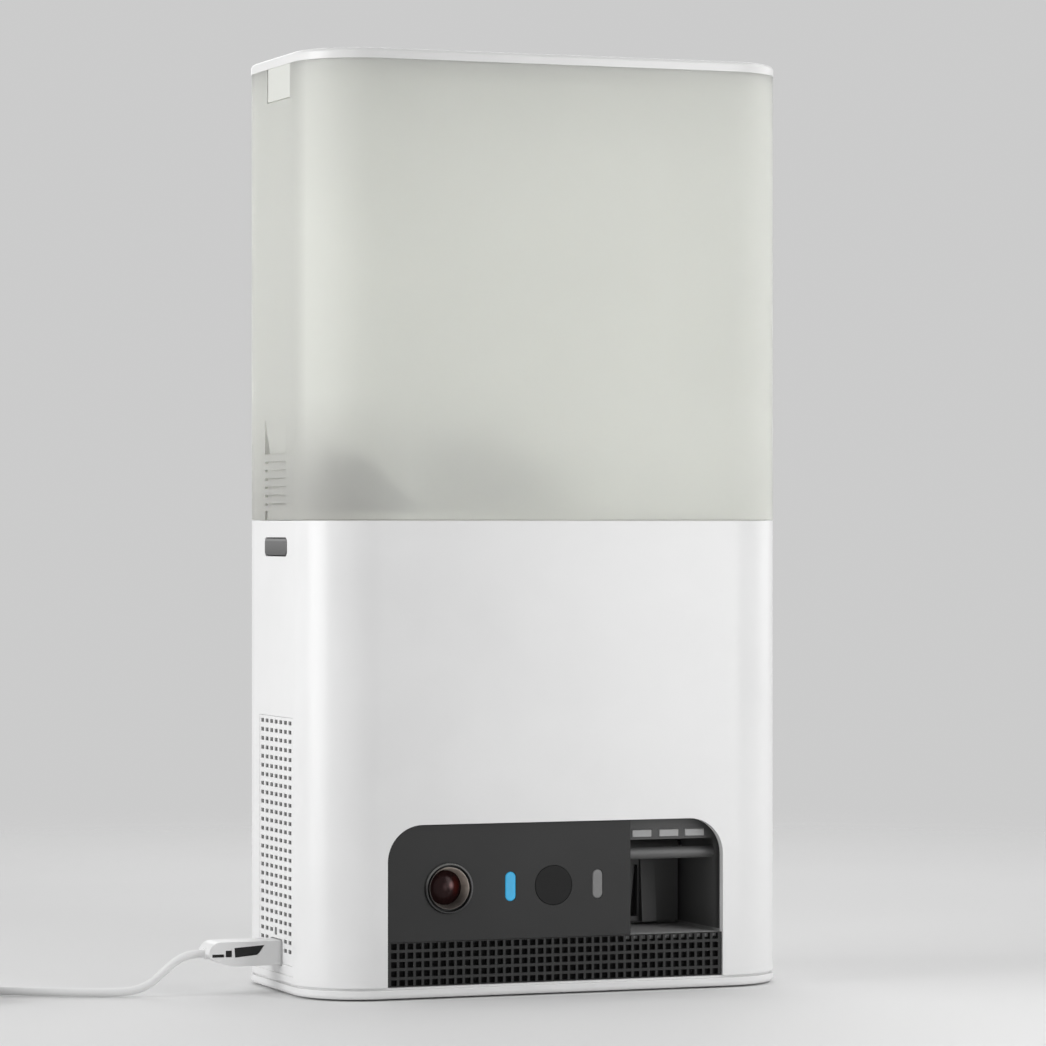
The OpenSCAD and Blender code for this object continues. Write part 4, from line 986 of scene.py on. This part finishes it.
def make_floor():
    """Pale floor that fades into the backdrop's colour with distance from the object."""
    bpy.ops.mesh.primitive_plane_add(size=FLOOR_SIZE, location=(0, 0, FLOOR_Z))
    floor = bpy.context.object
    floor.name = "floor"
    material, nodes, links, shader = new_material("floor")
    cloud = noise_node(nodes, links, 3, 2)
    links.new(tint(nodes, links, cloud, *FLOOR_SHADES), shader.inputs["Base Color"])
    shader.inputs["Roughness"].default_value = 0.7
    shader.inputs["Specular IOR Level"].default_value = 0.2
    place = nodes.new("ShaderNodeTexCoord")
    distance = nodes.new("ShaderNodeVectorMath")
    distance.operation = "LENGTH"
    fade = nodes.new("ShaderNodeMapRange")
    fade.interpolation_type = "SMOOTHSTEP"
    fade.inputs["From Min"].default_value = FADE[0]
    fade.inputs["From Max"].default_value = FADE[1]
    clear = nodes.new("ShaderNodeBsdfTransparent")
    mix = nodes.new("ShaderNodeMixShader")
    links.new(place.outputs["Object"], distance.inputs[0])
    links.new(distance.outputs["Value"], fade.inputs["Value"])
    links.new(fade.outputs["Result"], mix.inputs["Fac"])
    links.new(shader.outputs["BSDF"], mix.inputs[1])
    links.new(clear.outputs["BSDF"], mix.inputs[2])
    links.new(mix.outputs["Shader"], nodes["Material Output"].inputs["Surface"])
    floor.data.materials.append(material)


def make_world():
    """Even light on the object, and a backdrop colour for what the camera, metal and glass see."""
    world = bpy.data.worlds.new("studio")
    SCENE.world = world
    world.use_nodes = True
    nodes, links = world.node_tree.nodes, world.node_tree.links
    light = nodes["Background"]
    light.inputs["Color"].default_value = (1, 1, 1, 1)
    light.inputs["Strength"].default_value = WORLD_LEVEL
    seen = nodes.new("ShaderNodeBackground")
    seen.inputs["Color"].default_value = (BACKDROP, BACKDROP, BACKDROP, 1)
    path = nodes.new("ShaderNodeLightPath")
    share = path.outputs["Is Camera Ray"]
    for kind in ("Is Glossy Ray", "Is Transmission Ray"):
        either = nodes.new("ShaderNodeMath")
        either.operation = "MAXIMUM"
        links.new(share, either.inputs[0])
        links.new(path.outputs[kind], either.inputs[1])
        share = either.outputs["Value"]
    mix = nodes.new("ShaderNodeMixShader")
    links.new(share, mix.inputs["Fac"])
    links.new(light.outputs["Background"], mix.inputs[1])
    links.new(seen.outputs["Background"], mix.inputs[2])
    links.new(mix.outputs["Shader"], nodes["World Output"].inputs["Surface"])


def softbox(name, place, aim, size, power):
    data = bpy.data.lights.new(name, "AREA")
    data.shape = "RECTANGLE"
    data.size, data.size_y = size
    data.energy = power
    lamp = bpy.data.objects.new(name, data)
    lamp.location = place
    lamp.rotation_euler = (Vector(aim) - Vector(place)).to_track_quat("-Z", "Y").to_euler()
    lamp.visible_camera = False
    SCENE.collection.objects.link(lamp)


make_floor()
make_world()
for name, lamp in LAMPS.items():
    softbox(name, *lamp)

SCENE.view_settings.view_transform = "Standard"
SCENE.cycles.use_denoising = True
SCENE.cycles.max_bounces = 16
SCENE.cycles.diffuse_bounces = 8
SCENE.cycles.transmission_bounces = 12
